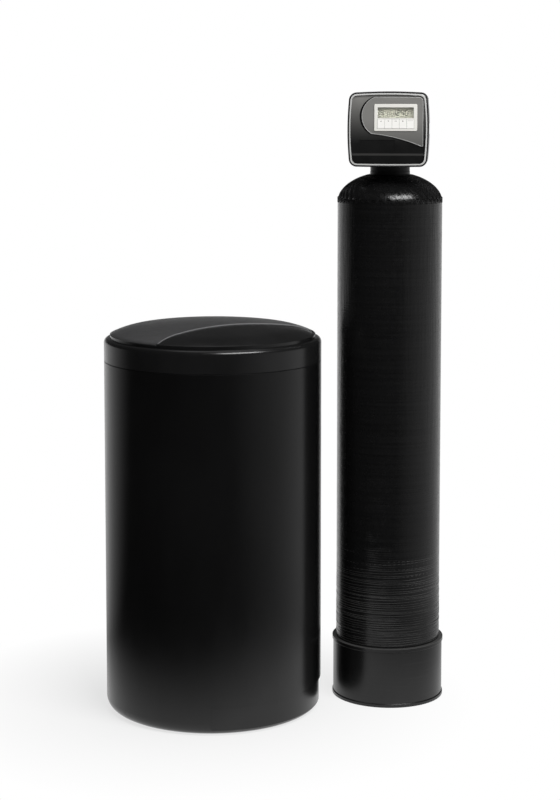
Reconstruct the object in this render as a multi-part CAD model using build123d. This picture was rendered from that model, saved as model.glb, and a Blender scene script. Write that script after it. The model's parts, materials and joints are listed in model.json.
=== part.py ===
from build123d import *
import math
import os

os.makedirs("parts", exist_ok=True)

# Frame: origin at the centre of the resin tank's foot on the floor, +Z up, the
# control head's face towards -Y, the brine tank to the -X side. Millimetres.

# Clearances
SLIDE_GAP = 0.4
SHAFT_GAP = 0.05
THREAD_GAP = 0.3
PRESS_GAP = 0.1

# How far a cut runs on past the surface that it opens
CUT_RUN = 1.0

# Resin tank
TANK_R = 114.3
TANK_STRAIGHT_TOP = 1098.0
TANK_DOME_RISE = 66.0
TANK_FOOT_DEPTH = 60.0
WINDING_WALL = 3.5
LINER_WALL = 4.0
NECK_R = 43.5
NECK_BORE_R = 31.0
NECK_BELOW_DOME = 16.0
NECK_RISE = 68.0
NECK_CHAMFER = 1.0

# Boot under the resin tank
BOOT_R = 121.0
BOOT_RIM = 2.0
BOOT_RIM_HIGH = 6.0
BOOT_HIGH = 130.0
BOOT_WALL = 3.2
BOOT_FLOOR = 4.0
BOOT_LIP_HIGH = 9.0
SEAT_R = 70.0
TANK_LIFT = 6.0

# Distribution inside the resin tank
RISER_R = 13.3
RISER_WALL = 2.0
STRAINER_R = 24.0
STRAINER_WALL = 2.5
STRAINER_HIGH = 62.0
STRAINER_SLOT = 2.0
STRAINER_SLOTS = 8
STRAINER_RIB = 5.0
STRAINER_PEG_R = 6.0
STRAINER_FLOOR_GAP = 1.0
TOP_STRAINER_HIGH = 44.0
BED_TOP = 760.0
BED_GAP = 0.5

# Control head cover
COVER_WIDE = 173.0
COVER_SHOULDER_WIDE = 164.0
COVER_LIFT = 1.0
COVER_HIGH = 160.0
COVER_CROWN = 3.0
COVER_CORNER_R = 17.0
COVER_BACK_Y = -33.0
COVER_RIM_Y = -124.0
COVER_EDGE_R = 6.0
COVER_WALL = 3.0
RIM_WIDE = 6.5
FACE_SINK = 4.0
PANEL_RAISE = 2.0
GROOVE_WIDE = 5.0
GROOVE_DEEP = 1.6
NOTCH_HIGH = 24.0
NOTCH_LONG = 40.0
NOTCH_FLOOR = 0.5
LABEL_WIDE = 75.0
LABEL_HIGH = 24.0
LABEL_DEEP = 0.8
LABEL_X = -23.5
LABEL_DROP = 34.5
PANEL_TOP_GAP = 3.0
PANEL_SIDE_GAP = 2.0
PANEL_START_X = -29.0
PANEL_BOW = (-55.5, 27.0)
PANEL_TURN = (-35.0, -9.0)
PANEL_SWEEP = (18.0, -18.0)
PANEL_END_DROP = 37.0

# Display and buttons, placed from the middle of the cover's face
DISPLAY_X = 16.0
DISPLAY_LIFT = 25.0
BEZEL_WIDE = 91.0
BEZEL_HIGH = 57.0
BEZEL_CORNER_R = 3.0
BEZEL_PROUD = 2.0
BEZEL_THICK = 3.0
BEZEL_EDGE_R = 0.8
WINDOW_WIDE = 76.0
WINDOW_HIGH = 22.4
WINDOW_LIFT = 10.2
WINDOW_THICK = 1.2
WINDOW_LAP = 1.5
BUTTON_COUNT = 5
BUTTON_PITCH = 15.5
BUTTON_HIGH = 19.4
BUTTON_DROP = 13.3
BUTTON_PROUD = 0.7
BUTTON_TRAVEL = 0.9
BUTTON_LAP = 0.8
BUTTON_CORNER_R = 1.0
BUTTON_EDGE_R = 0.4
PLUNGER_R = 2.2

# Electronics
BOARD_WIDE = 136.0
BOARD_HIGH = 112.0
BOARD_THICK = 1.6
BOARD_Y = -101.4
BOARD_POST_X = 61.0
BOARD_POST_UP = 29.5
BOARD_POST_R = 4.0
LCD_THICK = 14.0
LCD_MARGIN = 1.0
SWITCH_R = 3.0
SWITCH_HIGH = 3.4
RELAY_SIDE = 14.0
RELAY_COUNT = 3
RELAY_PITCH = 22.4

# Drive
PLATE_THICK = 3.0
PLATE_PROUD = 1.0
BRACKET_Y = -63.0
BRACKET_WIDE = 140.0
BRACKET_HIGH = 118.0
BRACKET_HOLE_R = 12.0
POST_R = 5.0
POST_X = 58.0
POST_UP = 46.0
SCREW_R = 1.8
SCREW_HEAD_R = 3.6
SCREW_HEAD_HIGH = 2.4
SCREW_DEEP = 10.0
MAIN_TEETH = 48
MAIN_MODULE = 1.25
MAIN_PINION_TEETH = 12
STEP_TEETH = 36
STEP_MODULE = 1.0
MOTOR_TEETH = 12
GEAR_FACE = 6.0
MAIN_SETBACK = 1.0
STEP_SETBACK = 2.0
WEB_WIDE = 4.0
WEB_GAP = 0.5
WEB_RING_GAP = 1.0
STEP_AXIS_DEG = 120.0
MOTOR_AXIS_DEG = 135.0
AXLE_R = 2.5
MOTOR_R = 15.0
MOTOR_LONG = 30.0
MOTOR_SHAFT_R = 1.5
MOTOR_EDGE_R = 1.5
TOOTH_SHARE = 0.40
TIP_SHARE = 0.20
ROOT_SHARE = 0.07
ADDENDUM = 0.85
DEDENDUM = 1.2

# Valve body
BARREL_RISE = 58.5
BARREL_R = 36.0
BARREL_BORE_R = 26.0
BARREL_BACK_Y = 60.0
BARREL_FLOOR = 8.0
COLUMN_R = 29.0
FLANGE_R = 43.0
FLANGE_RISE = 11.5
STEM_LONG = 40.0
STEM_BORE_R = 24.0
SOCKET_WALL = 3.0
SOCKET_DEEP = 26.0
PORT_X = 38.0
PORT_R = 17.0
PORT_BORE_R = 14.0
PORT_FRONT_Y = 8.0
PORT_BACK_Y = 82.0
PORT_LINK_R = 8.0
PORT_LINK_Y = 24.0
PISTON_R = 15.0
LAND_R = 17.6
LAND_LONG = 8.0
PISTON_LONG = 34.0
ROD_PROUD = 2.0
ROD_R = 6.0
SPACER_COUNT = 5
SPACER_WALL = 5.0
SPACER_RING = 3.0
SPACER_BARS = 4
SPACER_BAR_R = 2.3
SEAL_LIP_R = 17.66
CAP_R = 33.0
CAP_THICK = 7.0
CAP_PLUG = 12.0
CAP_HUB_R = 14.0

# Valve fittings
SEAL_THICK = 2.0
NUT_R = 24.0
NUT_LONG = 20.0
NUT_FLUTES = 12
NUT_FLUTE_R = 2.2
TAIL_LONG = 46.0
TAIL_R = 13.2
TAIL_BORE_R = 11.15
TAIL_SOCKET = 19.0
TAIL_FLANGE = 4.0
TAIL_STEP = 1.0
ROTOR_R = 13.2
ROTOR_LONG = 16.0
ROTOR_BLADES = 6
BLADE_THICK = 1.6
ROTOR_HUB_R = 4.0
ROTOR_PIN_R = 1.5
ROTOR_PIN_PROUD = 2.0
ROTOR_SETBACK = 8.0
SPIDER_THICK = 4.0
SPIDER_GAP = 1.0
DRAIN_X = -16.0
DRAIN_Y = 22.0
DRAIN_BOSS_R = 12.0
DRAIN_BORE_R = 6.5
DRAIN_BOSS_RISE = 54.0
ELBOW_RISE = 24.0
ELBOW_LONG = 44.0
DRAIN_STUB_R = 7.9
DRAIN_STUB_LONG = 24.0
DRAIN_SLIM = 1.0
DRAIN_SLEEVE = 1.5
DRAIN_WALL = 2.0
DRAIN_CLIP_SHARE = 0.6
INJECTOR_X = 18.0
INJECTOR_BOSS_R = 14.0
INJECTOR_BORE_R = 9.5
INJECTOR_FLOOR_RISE = 28.0
INJECTOR_WELL_DEEP = 30.0
INJECTOR_CAP_R = 16.5
INJECTOR_CAP_HIGH = 8.0
INJECTOR_FLUTE_R = 1.76
INJECTOR_THROAT_R = 1.6
BRINE_PORT_R = 9.0
BRINE_PORT_LONG = 22.0
BRINE_NUT_R = 10.5
BRINE_NUT_LONG = 16.0
BRINE_TUBE_R = 4.85
LEAD_X = 58.0
LEAD_RISE = 18.0
LEAD_R = 3.5
GLAND_R = 7.0
GLAND_FLANGE_R = 10.0
GLAND_LONG = 18.0

# Brine tank, placed from the resin tank
BRINE_X = -377.0
BRINE_Y = -111.0
BRINE_R = 235.0
BRINE_WALL = 4.0
BRINE_FLOOR = 5.0
BRINE_FOOT_R = 25.0
JOINT_Z = 762.0
RIM_RISE = 28.0
JOINT_CHAMFER = 1.0
RIM_PLAY = 0.2
WALL_REACH = 16.0
RECESS_HIGH = 64.5
RECESS_DEEP = 4.0
RECESS_FROM_DEG = -84.0
RECESS_SWEEP_DEG = 110.0

# Lid
LID_SKIRT_HIGH = 39.0
LID_SHOULDER_R = 10.0
LID_WALL = 3.5
DOME_EDGE_IN = 13.0
DOME_EDGE_RISE = 17.0
DOME_MID_IN = 70.0
DOME_MID_RISE = 17.0
DOME_TOP_RISE = 11.0
DOME_STEP = 2.0
RIDGE_ARC_R = 700.0
RIDGE_DEG = 130.0
RIDGE_SHIFT = 66.0

# Brine well, set against the back of the brine tank
WELL_DEG = 60.0
WELL_R = 56.0
WELL_WALL = 2.5
WELL_DROP = 24.0
WELL_SIDE_GAP = 3.0
WELL_SLOTS = 6
WELL_SLOT_WIDE = 8.0
WELL_SLOT_HIGH = 40.0
WELL_SLOT_LIFT = 10.0
WELL_CAP_SKIRT = 18.0
WELL_CAP_WALL = 2.5
WELL_CAP_GRIP_R = 14.0
WELL_CAP_GRIP_HIGH = 10.0

# Salt grid
GRID_Z = 66.0
GRID_THICK = 5.0
GRID_WALL_GAP = 9.0
GRID_HOLE_R = 9.0
GRID_RINGS = 5
GRID_RING_PITCH = 36.0
GRID_HOLE_PITCH = 38.0
GRID_LEG_R = 12.0
GRID_LEGS = 5
GRID_LEG_RING_R = 150.0
GRID_LEG_FROM_DEG = 90.0
GRID_LEG_GAP = 1.0
GRID_FIRST_SHARE = 0.7
GRID_WELL_GAP = 3.0

# Safety float
FLOAT_R = 30.0
FLOAT_HIGH = 62.0
FLOAT_LOW = 380.0
FLOAT_TRAVEL = 12.0
FLOAT_ROD_R = 2.4
FLOAT_ROD_IN = 26.0
FLOAT_ROD_TAIL = 40.0
FLOAT_ROD_ROOM = 2.0
FLOAT_EDGE_R = 4.3
FLOAT_COLLAR_R = 6.0
FLOAT_COLLAR_HIGH = 6.0
VALVE_Z = 560.0
VALVE_R = 19.0
VALVE_HIGH = 60.0
VALVE_PORT_R = 8.0
VALVE_ROOF = 4.0
ARM_WALL = 2.0
ARM_GAP = 3.0
PICKUP_X = -42.0
PICKUP_R = 4.8
PICKUP_WALL = 1.1
PICKUP_BOSS_WALL = 2.5
PICKUP_BOSS_HIGH = 17.0
PICKUP_ARM_UP = 10.0
PICKUP_IN = 14.0
PICKUP_SEAT = 8.0
CHECK_R = 9.0
CHECK_LOW = 14.0
CHECK_HIGH = 46.0
CHECK_WALL = 2.0
BALL_R = 4.6
BALL_TRAVEL = 5.0

# Fittings in the brine tank's wall
LINE_R = 9.0
LINE_LONG = 26.0
LINE_SHOULDER = 3.0
LINE_END_GAP = 0.5
LINE_SEAT_GAP = 0.6
LINE_NUT_R = 14.0
LINE_NUT_LONG = 8.0
NUT_SEAT_GAP = 0.8
OVERFLOW_DEG = 95.0
OVERFLOW_Z = 640.0
OVERFLOW_R = 11.0
OVERFLOW_FLANGE_R = 18.0
OVERFLOW_FLANGE = 3.0
OVERFLOW_NUT_R = 17.0
OVERFLOW_NUT_LONG = 9.0
OVERFLOW_OUT = 24.0
OVERFLOW_STUB_R = 6.35
OVERFLOW_STUB_LONG = 26.0
OVERFLOW_BORE_R = 4.4
OVERFLOW_TAIL = 4.0
OVERFLOW_SLIM = 1.0
GASKET_THICK = 2.0

# Positions worked out from the sizes above
TANK_FOOT_TOP = TANK_LIFT + TANK_FOOT_DEPTH
NECK_TOP = TANK_STRAIGHT_TOP + NECK_RISE
STEM_LOW = NECK_TOP - STEM_LONG
FLANGE_TOP = NECK_TOP + FLANGE_RISE
BARREL_Z = FLANGE_TOP + BARREL_RISE
DRAIN_BOSS_TOP = BARREL_Z + DRAIN_BOSS_RISE
INJECTOR_FLOOR = BARREL_Z + INJECTOR_FLOOR_RISE
INJECTOR_BOSS_TOP = INJECTOR_FLOOR + INJECTOR_WELL_DEEP
COVER_LOW = FLANGE_TOP + COVER_LIFT
FACE_MID_Z = COVER_LOW + COVER_HIGH / 2
FACE_Y = COVER_RIM_Y + FACE_SINK
PANEL_Y = FACE_Y - PANEL_RAISE
BEZEL_Y = PANEL_Y - BEZEL_PROUD
INNER_FACE_Y = FACE_Y + COVER_WALL
PLATE_BACK_Y = COVER_BACK_Y + PLATE_PROUD
PLATE_FRONT_Y = PLATE_BACK_Y - PLATE_THICK
BRACKET_FRONT_Y = BRACKET_Y - PLATE_THICK
BOARD_FRONT_Y = BOARD_Y - BOARD_THICK
DISPLAY_Z = FACE_MID_Z + DISPLAY_LIFT
WINDOW_Z = DISPLAY_Z + WINDOW_LIFT
BUTTON_Z = DISPLAY_Z - BUTTON_DROP
MAIN_PITCH_R = MAIN_TEETH * MAIN_MODULE / 2
MAIN_PINION_R = MAIN_PINION_TEETH * MAIN_MODULE / 2
STEP_PITCH_R = STEP_TEETH * STEP_MODULE / 2
MOTOR_PITCH_R = MOTOR_TEETH * STEP_MODULE / 2
CAP_FRONT_Y = PLATE_FRONT_Y - CAP_THICK
MAIN_BACK_Y = CAP_FRONT_Y - MAIN_SETBACK
MAIN_FRONT_Y = MAIN_BACK_Y - GEAR_FACE
STEP_BACK_Y = MAIN_FRONT_Y - STEP_SETBACK
STEP_FRONT_Y = STEP_BACK_Y - GEAR_FACE
WELL_AWAY = BRINE_R - max(BRINE_FOOT_R, BRINE_WALL + RECESS_DEEP) - WELL_SIDE_GAP - WELL_R
ARM_END = WELL_R - WELL_WALL - ARM_GAP
LINE_Z = VALVE_Z
BRINE_PORT_Z = INJECTOR_BOSS_TOP - BRINE_NUT_R
BRINE_END_Y = DRAIN_Y + INJECTOR_BOSS_R + BRINE_PORT_LONG
WELL_X = BRINE_X + WELL_AWAY * math.cos(math.radians(WELL_DEG))
WELL_Y = BRINE_Y + WELL_AWAY * math.sin(math.radians(WELL_DEG))
RIM_R = BRINE_R - LID_WALL - SLIDE_GAP - RIM_PLAY
RIM_TOP = JOINT_Z + RIM_RISE
WELL_TOP = JOINT_Z - WELL_DROP
LID_SHOULDER_Z = JOINT_Z + LID_SKIRT_HIGH
DOME_EDGE_R = BRINE_R - DOME_EDGE_IN
DOME_MID_R = BRINE_R - DOME_MID_IN
GRID_R = BRINE_R - BRINE_WALL - GRID_WALL_GAP
DOME_EDGE_Z = LID_SHOULDER_Z + DOME_EDGE_RISE
DOME_MID_Z = DOME_EDGE_Z + DOME_MID_RISE
DOME_TOP_Z = DOME_MID_Z + DOME_TOP_RISE


# Shared shapes

def rod(radius, low, high, x=0.0, y=0.0):
    """Upright round bar."""
    return Pos(x, y, (low + high) / 2) * Cylinder(radius, high - low)


def bar_y(radius, front, back, x, z):
    """Round bar lying front to back."""
    return Pos(x, (front + back) / 2, z) * Rot(90, 0, 0) * Cylinder(radius, back - front)


def bar_x(radius, left, right, y, z):
    """Round bar lying side to side."""
    return Pos((left + right) / 2, y, z) * Rot(0, 90, 0) * Cylinder(radius, right - left)


def block(low, high):
    """Square-edged block between two corners."""
    mid = [(a + b) / 2 for a, b in zip(low, high)]
    side = [b - a for a, b in zip(low, high)]
    return Pos(*mid) * Box(*side)


def turned(*edges):
    """Solid turned about +Z from closed edges drawn as radius and height."""
    face = make_face(Plane.XZ * Wire(edges))
    return revolve(face, Axis.Z)


def turned_outline(points):
    """Solid turned about +Z from straight runs between radius and height points."""
    return turned(*Polyline(*points, close=True).edges())


def forward(face, depth):
    """Face made solid towards the front."""
    return extrude(face, depth, dir=(0, -1, 0))


def pattern_round(count, start=0.0):
    """Angles of an even ring of copies."""
    return [start + 360.0 * index / count for index in range(count)]


def around(shape, angle, x=0.0, y=0.0):
    """Copy of a shape turned about an upright axis."""
    return Pos(x, y, 0) * Rot(0, 0, angle) * Pos(-x, -y, 0) * shape


def save(node, shape):
    """Write one node, as one solid or as a group of separate solids."""
    solids = list(shape.solids())
    kept = solids[0] if len(solids) == 1 else Compound(children=solids)
    export_step(kept, f"parts/{node}.step")
    return kept


# Resin tank, boot and what hangs inside

def tank_form(inset):
    """Closed outer form of the tank, drawn in by an inset."""
    radius = TANK_R - inset
    rise = TANK_DOME_RISE - inset
    foot = TANK_FOOT_DEPTH - inset
    dome = EllipticalCenterArc((0, TANK_STRAIGHT_TOP), radius, rise, 0, arc_size=90)
    base = EllipticalCenterArc((0, TANK_FOOT_TOP), radius, foot, 270, arc_size=90)
    side = Line((radius, TANK_FOOT_TOP), (radius, TANK_STRAIGHT_TOP))
    middle = Line((0, TANK_STRAIGHT_TOP + rise), (0, TANK_FOOT_TOP - foot))
    return turned(base, side, dome, middle)


def dome_height(radius, inset=0.0):
    """Height of the upper dome at a radius."""
    share = radius / (TANK_R - inset)
    return TANK_STRAIGHT_TOP + (TANK_DOME_RISE - inset) * math.sqrt(1 - share * share)


def foot_height(radius, inset=0.0):
    """Height of the lower dome at a radius."""
    share = radius / (TANK_R - inset)
    return TANK_FOOT_TOP - (TANK_FOOT_DEPTH - inset) * math.sqrt(1 - share * share)


INNER_INSET = WINDING_WALL + LINER_WALL
NECK_LOW = dome_height(NECK_R, INNER_INSET) - NECK_BELOW_DOME
STRAINER_LOW = foot_height(STRAINER_R, INNER_INSET) + STRAINER_FLOOR_GAP
STRAINER_TOP = STRAINER_LOW + STRAINER_HIGH
SOCKET_TOP = STEM_LOW + SOCKET_DEEP
SOCKET_R = RISER_R + PRESS_GAP


def tank_winding():
    shell = tank_form(0) - tank_form(WINDING_WALL)
    return shell - rod(NECK_R, TANK_STRAIGHT_TOP, NECK_TOP)


def tank_liner():
    shell = tank_form(WINDING_WALL) - tank_form(INNER_INSET)
    return shell - rod(NECK_R, TANK_STRAIGHT_TOP, NECK_TOP)


def tank_neck():
    ring = rod(NECK_R, NECK_LOW, NECK_TOP) - rod(NECK_BORE_R, NECK_LOW, NECK_TOP)
    top_edges = ring.edges().group_by(Axis.Z)[-1].sort_by(SortBy.LENGTH)
    return chamfer(top_edges[-1], NECK_CHAMFER)


def tank_boot():
    """Moulded boot whose floor carries a seat for the tank's round foot."""
    rim_r = BOOT_R + BOOT_RIM
    inner_r = BOOT_R - BOOT_WALL
    lip_r = TANK_R + PRESS_GAP
    lip_low = BOOT_HIGH - BOOT_LIP_HIGH
    seat_deg = math.degrees(math.acos(SEAT_R / TANK_R))
    seat = EllipticalCenterArc((0, TANK_FOOT_TOP), TANK_R, TANK_FOOT_DEPTH, 270, arc_size=90 - seat_deg)
    wall = Polyline(seat @ 1, (SEAT_R, BOOT_FLOOR), (inner_r, BOOT_FLOOR), (inner_r, lip_low),
                    (lip_r, lip_low), (lip_r, BOOT_HIGH), (rim_r, BOOT_HIGH),
                    (rim_r, lip_low + BOOT_RIM), (BOOT_R, lip_low),
                    (BOOT_R, BOOT_RIM_HIGH + BOOT_RIM), (rim_r, BOOT_RIM_HIGH), (rim_r, 0),
                    (0, 0), seat @ 0)
    return turned(seat, *wall.edges())


def slotted(ring, inner_r, outer_r, low, high):
    """Ring with level slots between four upright ribs."""
    pitch = (high - low) / STRAINER_SLOTS
    ribs = block((-outer_r, -STRAINER_RIB / 2, low), (outer_r, STRAINER_RIB / 2, high))
    ribs += Rot(0, 0, 90) * ribs
    for index in range(STRAINER_SLOTS):
        middle = low + pitch * (index + 0.5)
        top = middle + STRAINER_SLOT / 2
        floor = middle - STRAINER_SLOT / 2
        gap = rod(outer_r + CUT_RUN, floor, top) - rod(inner_r - CUT_RUN, floor, top)
        ring -= gap - ribs
    return ring


def bottom_strainer():
    inner_r = STRAINER_R - STRAINER_WALL
    cup = rod(STRAINER_R, STRAINER_LOW, STRAINER_TOP)
    cup -= rod(inner_r, STRAINER_LOW + STRAINER_WALL, STRAINER_TOP - STRAINER_WALL)
    cup = slotted(cup, inner_r, STRAINER_R, STRAINER_LOW + STRAINER_WALL, STRAINER_TOP - STRAINER_WALL)
    cup += rod(STRAINER_PEG_R, foot_height(STRAINER_PEG_R, INNER_INSET) + PRESS_GAP, STRAINER_LOW)
    collar_r = RISER_R + STRAINER_WALL
    cup += rod(collar_r, STRAINER_TOP - STRAINER_WALL, STRAINER_TOP + SOCKET_WALL)
    return cup - rod(RISER_R + PRESS_GAP, STRAINER_TOP - STRAINER_WALL, STRAINER_TOP + SOCKET_WALL)


def riser_tube():
    low = STRAINER_TOP - STRAINER_WALL / 2
    return rod(RISER_R, low, SOCKET_TOP) - rod(RISER_R - RISER_WALL, low, SOCKET_TOP)


def top_strainer():
    low = STEM_LOW - TOP_STRAINER_HIGH
    inner_r = STRAINER_R - STRAINER_WALL
    cup = rod(STRAINER_R, low, STEM_LOW) - rod(inner_r, low + STRAINER_WALL, STEM_LOW)
    cup = slotted(cup, inner_r, STRAINER_R, low + STRAINER_WALL, STEM_LOW - STRAINER_WALL)
    return cup - rod(RISER_R + PRESS_GAP, low, low + STRAINER_WALL)


def resin_bed():
    cut_top = block((-TANK_R, -TANK_R, BED_TOP), (TANK_R, TANK_R, NECK_TOP))
    bed = tank_form(INNER_INSET + BED_GAP) - cut_top
    bed -= rod(STRAINER_R + BED_GAP, 0, STRAINER_TOP + SOCKET_WALL + BED_GAP)
    return bed - rod(RISER_R + BED_GAP, STRAINER_TOP, BED_TOP)


# Valve body and its flow parts

def valve_body():
    body = bar_y(BARREL_R, PLATE_BACK_Y, BARREL_BACK_Y, 0, BARREL_Z)
    body += rod(COLUMN_R, FLANGE_TOP - CUT_RUN, BARREL_Z)
    body += rod(FLANGE_R, NECK_TOP, FLANGE_TOP)
    body += rod(NECK_BORE_R - THREAD_GAP, STEM_LOW, NECK_TOP)
    for side in (-1, 1):
        body += bar_y(PORT_R, PORT_FRONT_Y, PORT_BACK_Y, side * PORT_X, BARREL_Z)
    body += rod(DRAIN_BOSS_R, BARREL_Z, DRAIN_BOSS_TOP, DRAIN_X, DRAIN_Y)
    body += rod(INJECTOR_BOSS_R, BARREL_Z, INJECTOR_BOSS_TOP, INJECTOR_X, DRAIN_Y)
    body += bar_y(BRINE_PORT_R, DRAIN_Y, BRINE_END_Y - BRINE_NUT_LONG, INJECTOR_X, BRINE_PORT_Z)

    bore_back = BARREL_BACK_Y - BARREL_FLOOR
    body -= bar_y(BARREL_BORE_R, PLATE_BACK_Y, bore_back, 0, BARREL_Z)
    ring = rod(STEM_BORE_R, STEM_LOW, FLANGE_TOP) - rod(SOCKET_R + SOCKET_WALL, STEM_LOW, FLANGE_TOP)
    body -= ring
    body -= rod(SOCKET_R, STEM_LOW, SOCKET_TOP)
    body -= rod(SOCKET_R - RISER_WALL, SOCKET_TOP, BARREL_Z)
    feed_r = (STEM_BORE_R - SOCKET_R - SOCKET_WALL) / 2
    feed_x = (STEM_BORE_R + SOCKET_R + SOCKET_WALL) / 2
    body -= rod(feed_r, STEM_LOW, BARREL_Z, feed_x, 0)
    for side in (-1, 1):
        body -= bar_y(PORT_BORE_R, PORT_FRONT_Y + BARREL_FLOOR, PORT_BACK_Y, side * PORT_X, BARREL_Z)
    body -= bar_x(PORT_LINK_R, -PORT_X, PORT_X, PORT_LINK_Y, BARREL_Z)
    body -= rod(DRAIN_BORE_R, BARREL_Z, DRAIN_BOSS_TOP, DRAIN_X, DRAIN_Y)
    body -= rod(INJECTOR_BORE_R, INJECTOR_FLOOR, INJECTOR_BOSS_TOP, INJECTOR_X, DRAIN_Y)
    body -= rod(INJECTOR_THROAT_R, BARREL_Z, INJECTOR_FLOOR, INJECTOR_X, DRAIN_Y)
    return body - bar_y(BRINE_TUBE_R, DRAIN_Y, BRINE_END_Y, INJECTOR_X, BRINE_PORT_Z)


def riser_seal():
    """Ring that seals the riser against its socket, in a step at the socket's mouth."""
    low = STEM_LOW - SEAL_THICK
    return rod(SOCKET_R + SOCKET_WALL, low, STEM_LOW) - rod(SOCKET_R, low, STEM_LOW)


SPACER_FRONT_Y = PLATE_FRONT_Y + CAP_PLUG + PLATE_THICK
SPACER_BACK_Y = BARREL_BACK_Y - BARREL_FLOOR
PISTON_BACK_Y = SPACER_BACK_Y - SPACER_RING
PISTON_FRONT_Y = PISTON_BACK_Y - PISTON_LONG


def spacer_stack():
    """Rings that hold the lip seals, joined by slim bars."""
    outer_r = BARREL_BORE_R - PRESS_GAP
    pitch = (SPACER_BACK_Y - SPACER_FRONT_Y - SPACER_RING) / (SPACER_COUNT - 1)
    stack = None
    for index in range(SPACER_COUNT):
        start = SPACER_FRONT_Y + pitch * index
        ring = bar_y(outer_r, start, start + SPACER_RING, 0, BARREL_Z)
        ring -= bar_y(outer_r - SPACER_WALL, start, start + SPACER_RING, 0, BARREL_Z)
        stack = ring if stack is None else stack + ring
    bar_mid = outer_r - SPACER_WALL / 2
    for angle in pattern_round(SPACER_BARS, 180.0 / SPACER_BARS):
        x = bar_mid * math.cos(math.radians(angle))
        z = BARREL_Z + bar_mid * math.sin(math.radians(angle))
        stack += bar_y(SPACER_BAR_R, SPACER_FRONT_Y, SPACER_BACK_Y, x, z)
    return stack


def lip_seals():
    """Thin seal washers seated on the front face of each spacer ring."""
    outer_r = BARREL_BORE_R - SPACER_WALL - PRESS_GAP
    pitch = (SPACER_BACK_Y - SPACER_FRONT_Y - SPACER_RING) / (SPACER_COUNT - 1)
    seals = []
    for index in range(SPACER_COUNT):
        start = SPACER_FRONT_Y + pitch * index
        ring = bar_y(outer_r, start, start + SPACER_RING, 0, BARREL_Z)
        seals.append(ring - bar_y(SEAL_LIP_R, start, start + SPACER_RING, 0, BARREL_Z))
    return Compound(children=seals)


ROD_FRONT_Y = STEP_FRONT_Y - ROD_PROUD


def piston():
    shape = bar_y(PISTON_R, PISTON_FRONT_Y, PISTON_BACK_Y, 0, BARREL_Z)
    middle = (PISTON_FRONT_Y + PISTON_BACK_Y) / 2
    for start in (PISTON_FRONT_Y, middle - LAND_LONG / 2, PISTON_BACK_Y - LAND_LONG):
        shape += bar_y(LAND_R, start, start + LAND_LONG, 0, BARREL_Z)
    return shape + bar_y(ROD_R, ROD_FRONT_Y, PISTON_FRONT_Y, 0, BARREL_Z)


def drive_cap():
    cap = bar_y(CAP_R, CAP_FRONT_Y, PLATE_FRONT_Y, 0, BARREL_Z)
    cap += bar_y(BARREL_BORE_R - PRESS_GAP, PLATE_FRONT_Y, PLATE_BACK_Y + CAP_PLUG, 0, BARREL_Z)
    cap += bar_y(CAP_HUB_R, MAIN_FRONT_Y, CAP_FRONT_Y, 0, BARREL_Z)
    step_x, step_z = step_centre()
    cap -= bar_y(AXLE_R, CAP_FRONT_Y, PLATE_FRONT_Y, step_x, step_z)
    return cap - bar_y(ROD_R + SHAFT_GAP, MAIN_FRONT_Y, PLATE_BACK_Y + CAP_PLUG, 0, BARREL_Z)


# Gear train

def step_centre():
    reach = MAIN_PITCH_R + MAIN_PINION_R
    angle = math.radians(STEP_AXIS_DEG)
    return reach * math.cos(angle), BARREL_Z + reach * math.sin(angle)


def motor_centre():
    x, z = step_centre()
    reach = STEP_PITCH_R + MOTOR_PITCH_R
    angle = math.radians(MOTOR_AXIS_DEG)
    return x + reach * math.cos(angle), z + reach * math.sin(angle)


def toothed(teeth, module, front, back, x, z, phase):
    """Gear lying front to back, with a tooth centred at the phase angle."""
    pitch_r = teeth * module / 2
    root_r = pitch_r - DEDENDUM * module
    tip_r = pitch_r + ADDENDUM * module
    pitch_deg = 360.0 / teeth
    root_half = pitch_deg * ((1 - TIP_SHARE) / 4 + ROOT_SHARE)
    mid_half = pitch_deg * TOOTH_SHARE / 2
    tip_half = pitch_deg * TIP_SHARE / 2
    steps = ((root_r, -root_half), (pitch_r, -mid_half), (tip_r, -tip_half),
             (tip_r, tip_half), (pitch_r, mid_half), (root_r, root_half))
    outline = []
    for index in range(teeth):
        centre = phase + pitch_deg * index
        for radius, away in steps:
            angle = math.radians(centre + away)
            outline.append((radius * math.cos(angle), radius * math.sin(angle)))
    face = Plane.XZ * make_face(Polyline(*outline, close=True))
    return Pos(x, back, z) * forward(face, back - front)


def main_gear():
    gear = toothed(MAIN_TEETH, MAIN_MODULE, MAIN_FRONT_Y, MAIN_BACK_Y, 0, BARREL_Z, STEP_AXIS_DEG)
    gear -= bar_y(CAP_HUB_R + SHAFT_GAP, MAIN_FRONT_Y, MAIN_BACK_Y, 0, BARREL_Z)
    web_front = MAIN_FRONT_Y - GEAR_FACE / 2
    web_r = CAP_HUB_R + WEB_WIDE
    gear += bar_y(web_r, web_front, MAIN_FRONT_Y - WEB_GAP, 0, BARREL_Z)
    ring = bar_y(web_r, web_front, MAIN_FRONT_Y, 0, BARREL_Z)
    ring -= bar_y(CAP_HUB_R + WEB_RING_GAP, web_front, MAIN_FRONT_Y, 0, BARREL_Z)
    gear += ring
    return gear - bar_y(ROD_R + SHAFT_GAP, web_front, MAIN_FRONT_Y, 0, BARREL_Z)


def reduction_gear():
    x, z = step_centre()
    back_phase = STEP_AXIS_DEG + 180 + 180.0 / MAIN_PINION_TEETH
    small = toothed(MAIN_PINION_TEETH, MAIN_MODULE, MAIN_FRONT_Y, MAIN_BACK_Y, x, z, back_phase)
    large = toothed(STEP_TEETH, STEP_MODULE, STEP_FRONT_Y, STEP_BACK_Y, x, z, MOTOR_AXIS_DEG)
    link = bar_y(MAIN_PINION_R - DEDENDUM * MAIN_MODULE, STEP_BACK_Y, MAIN_FRONT_Y, x, z)
    return small + large + link - bar_y(AXLE_R + SHAFT_GAP, STEP_FRONT_Y, MAIN_BACK_Y, x, z)


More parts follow.
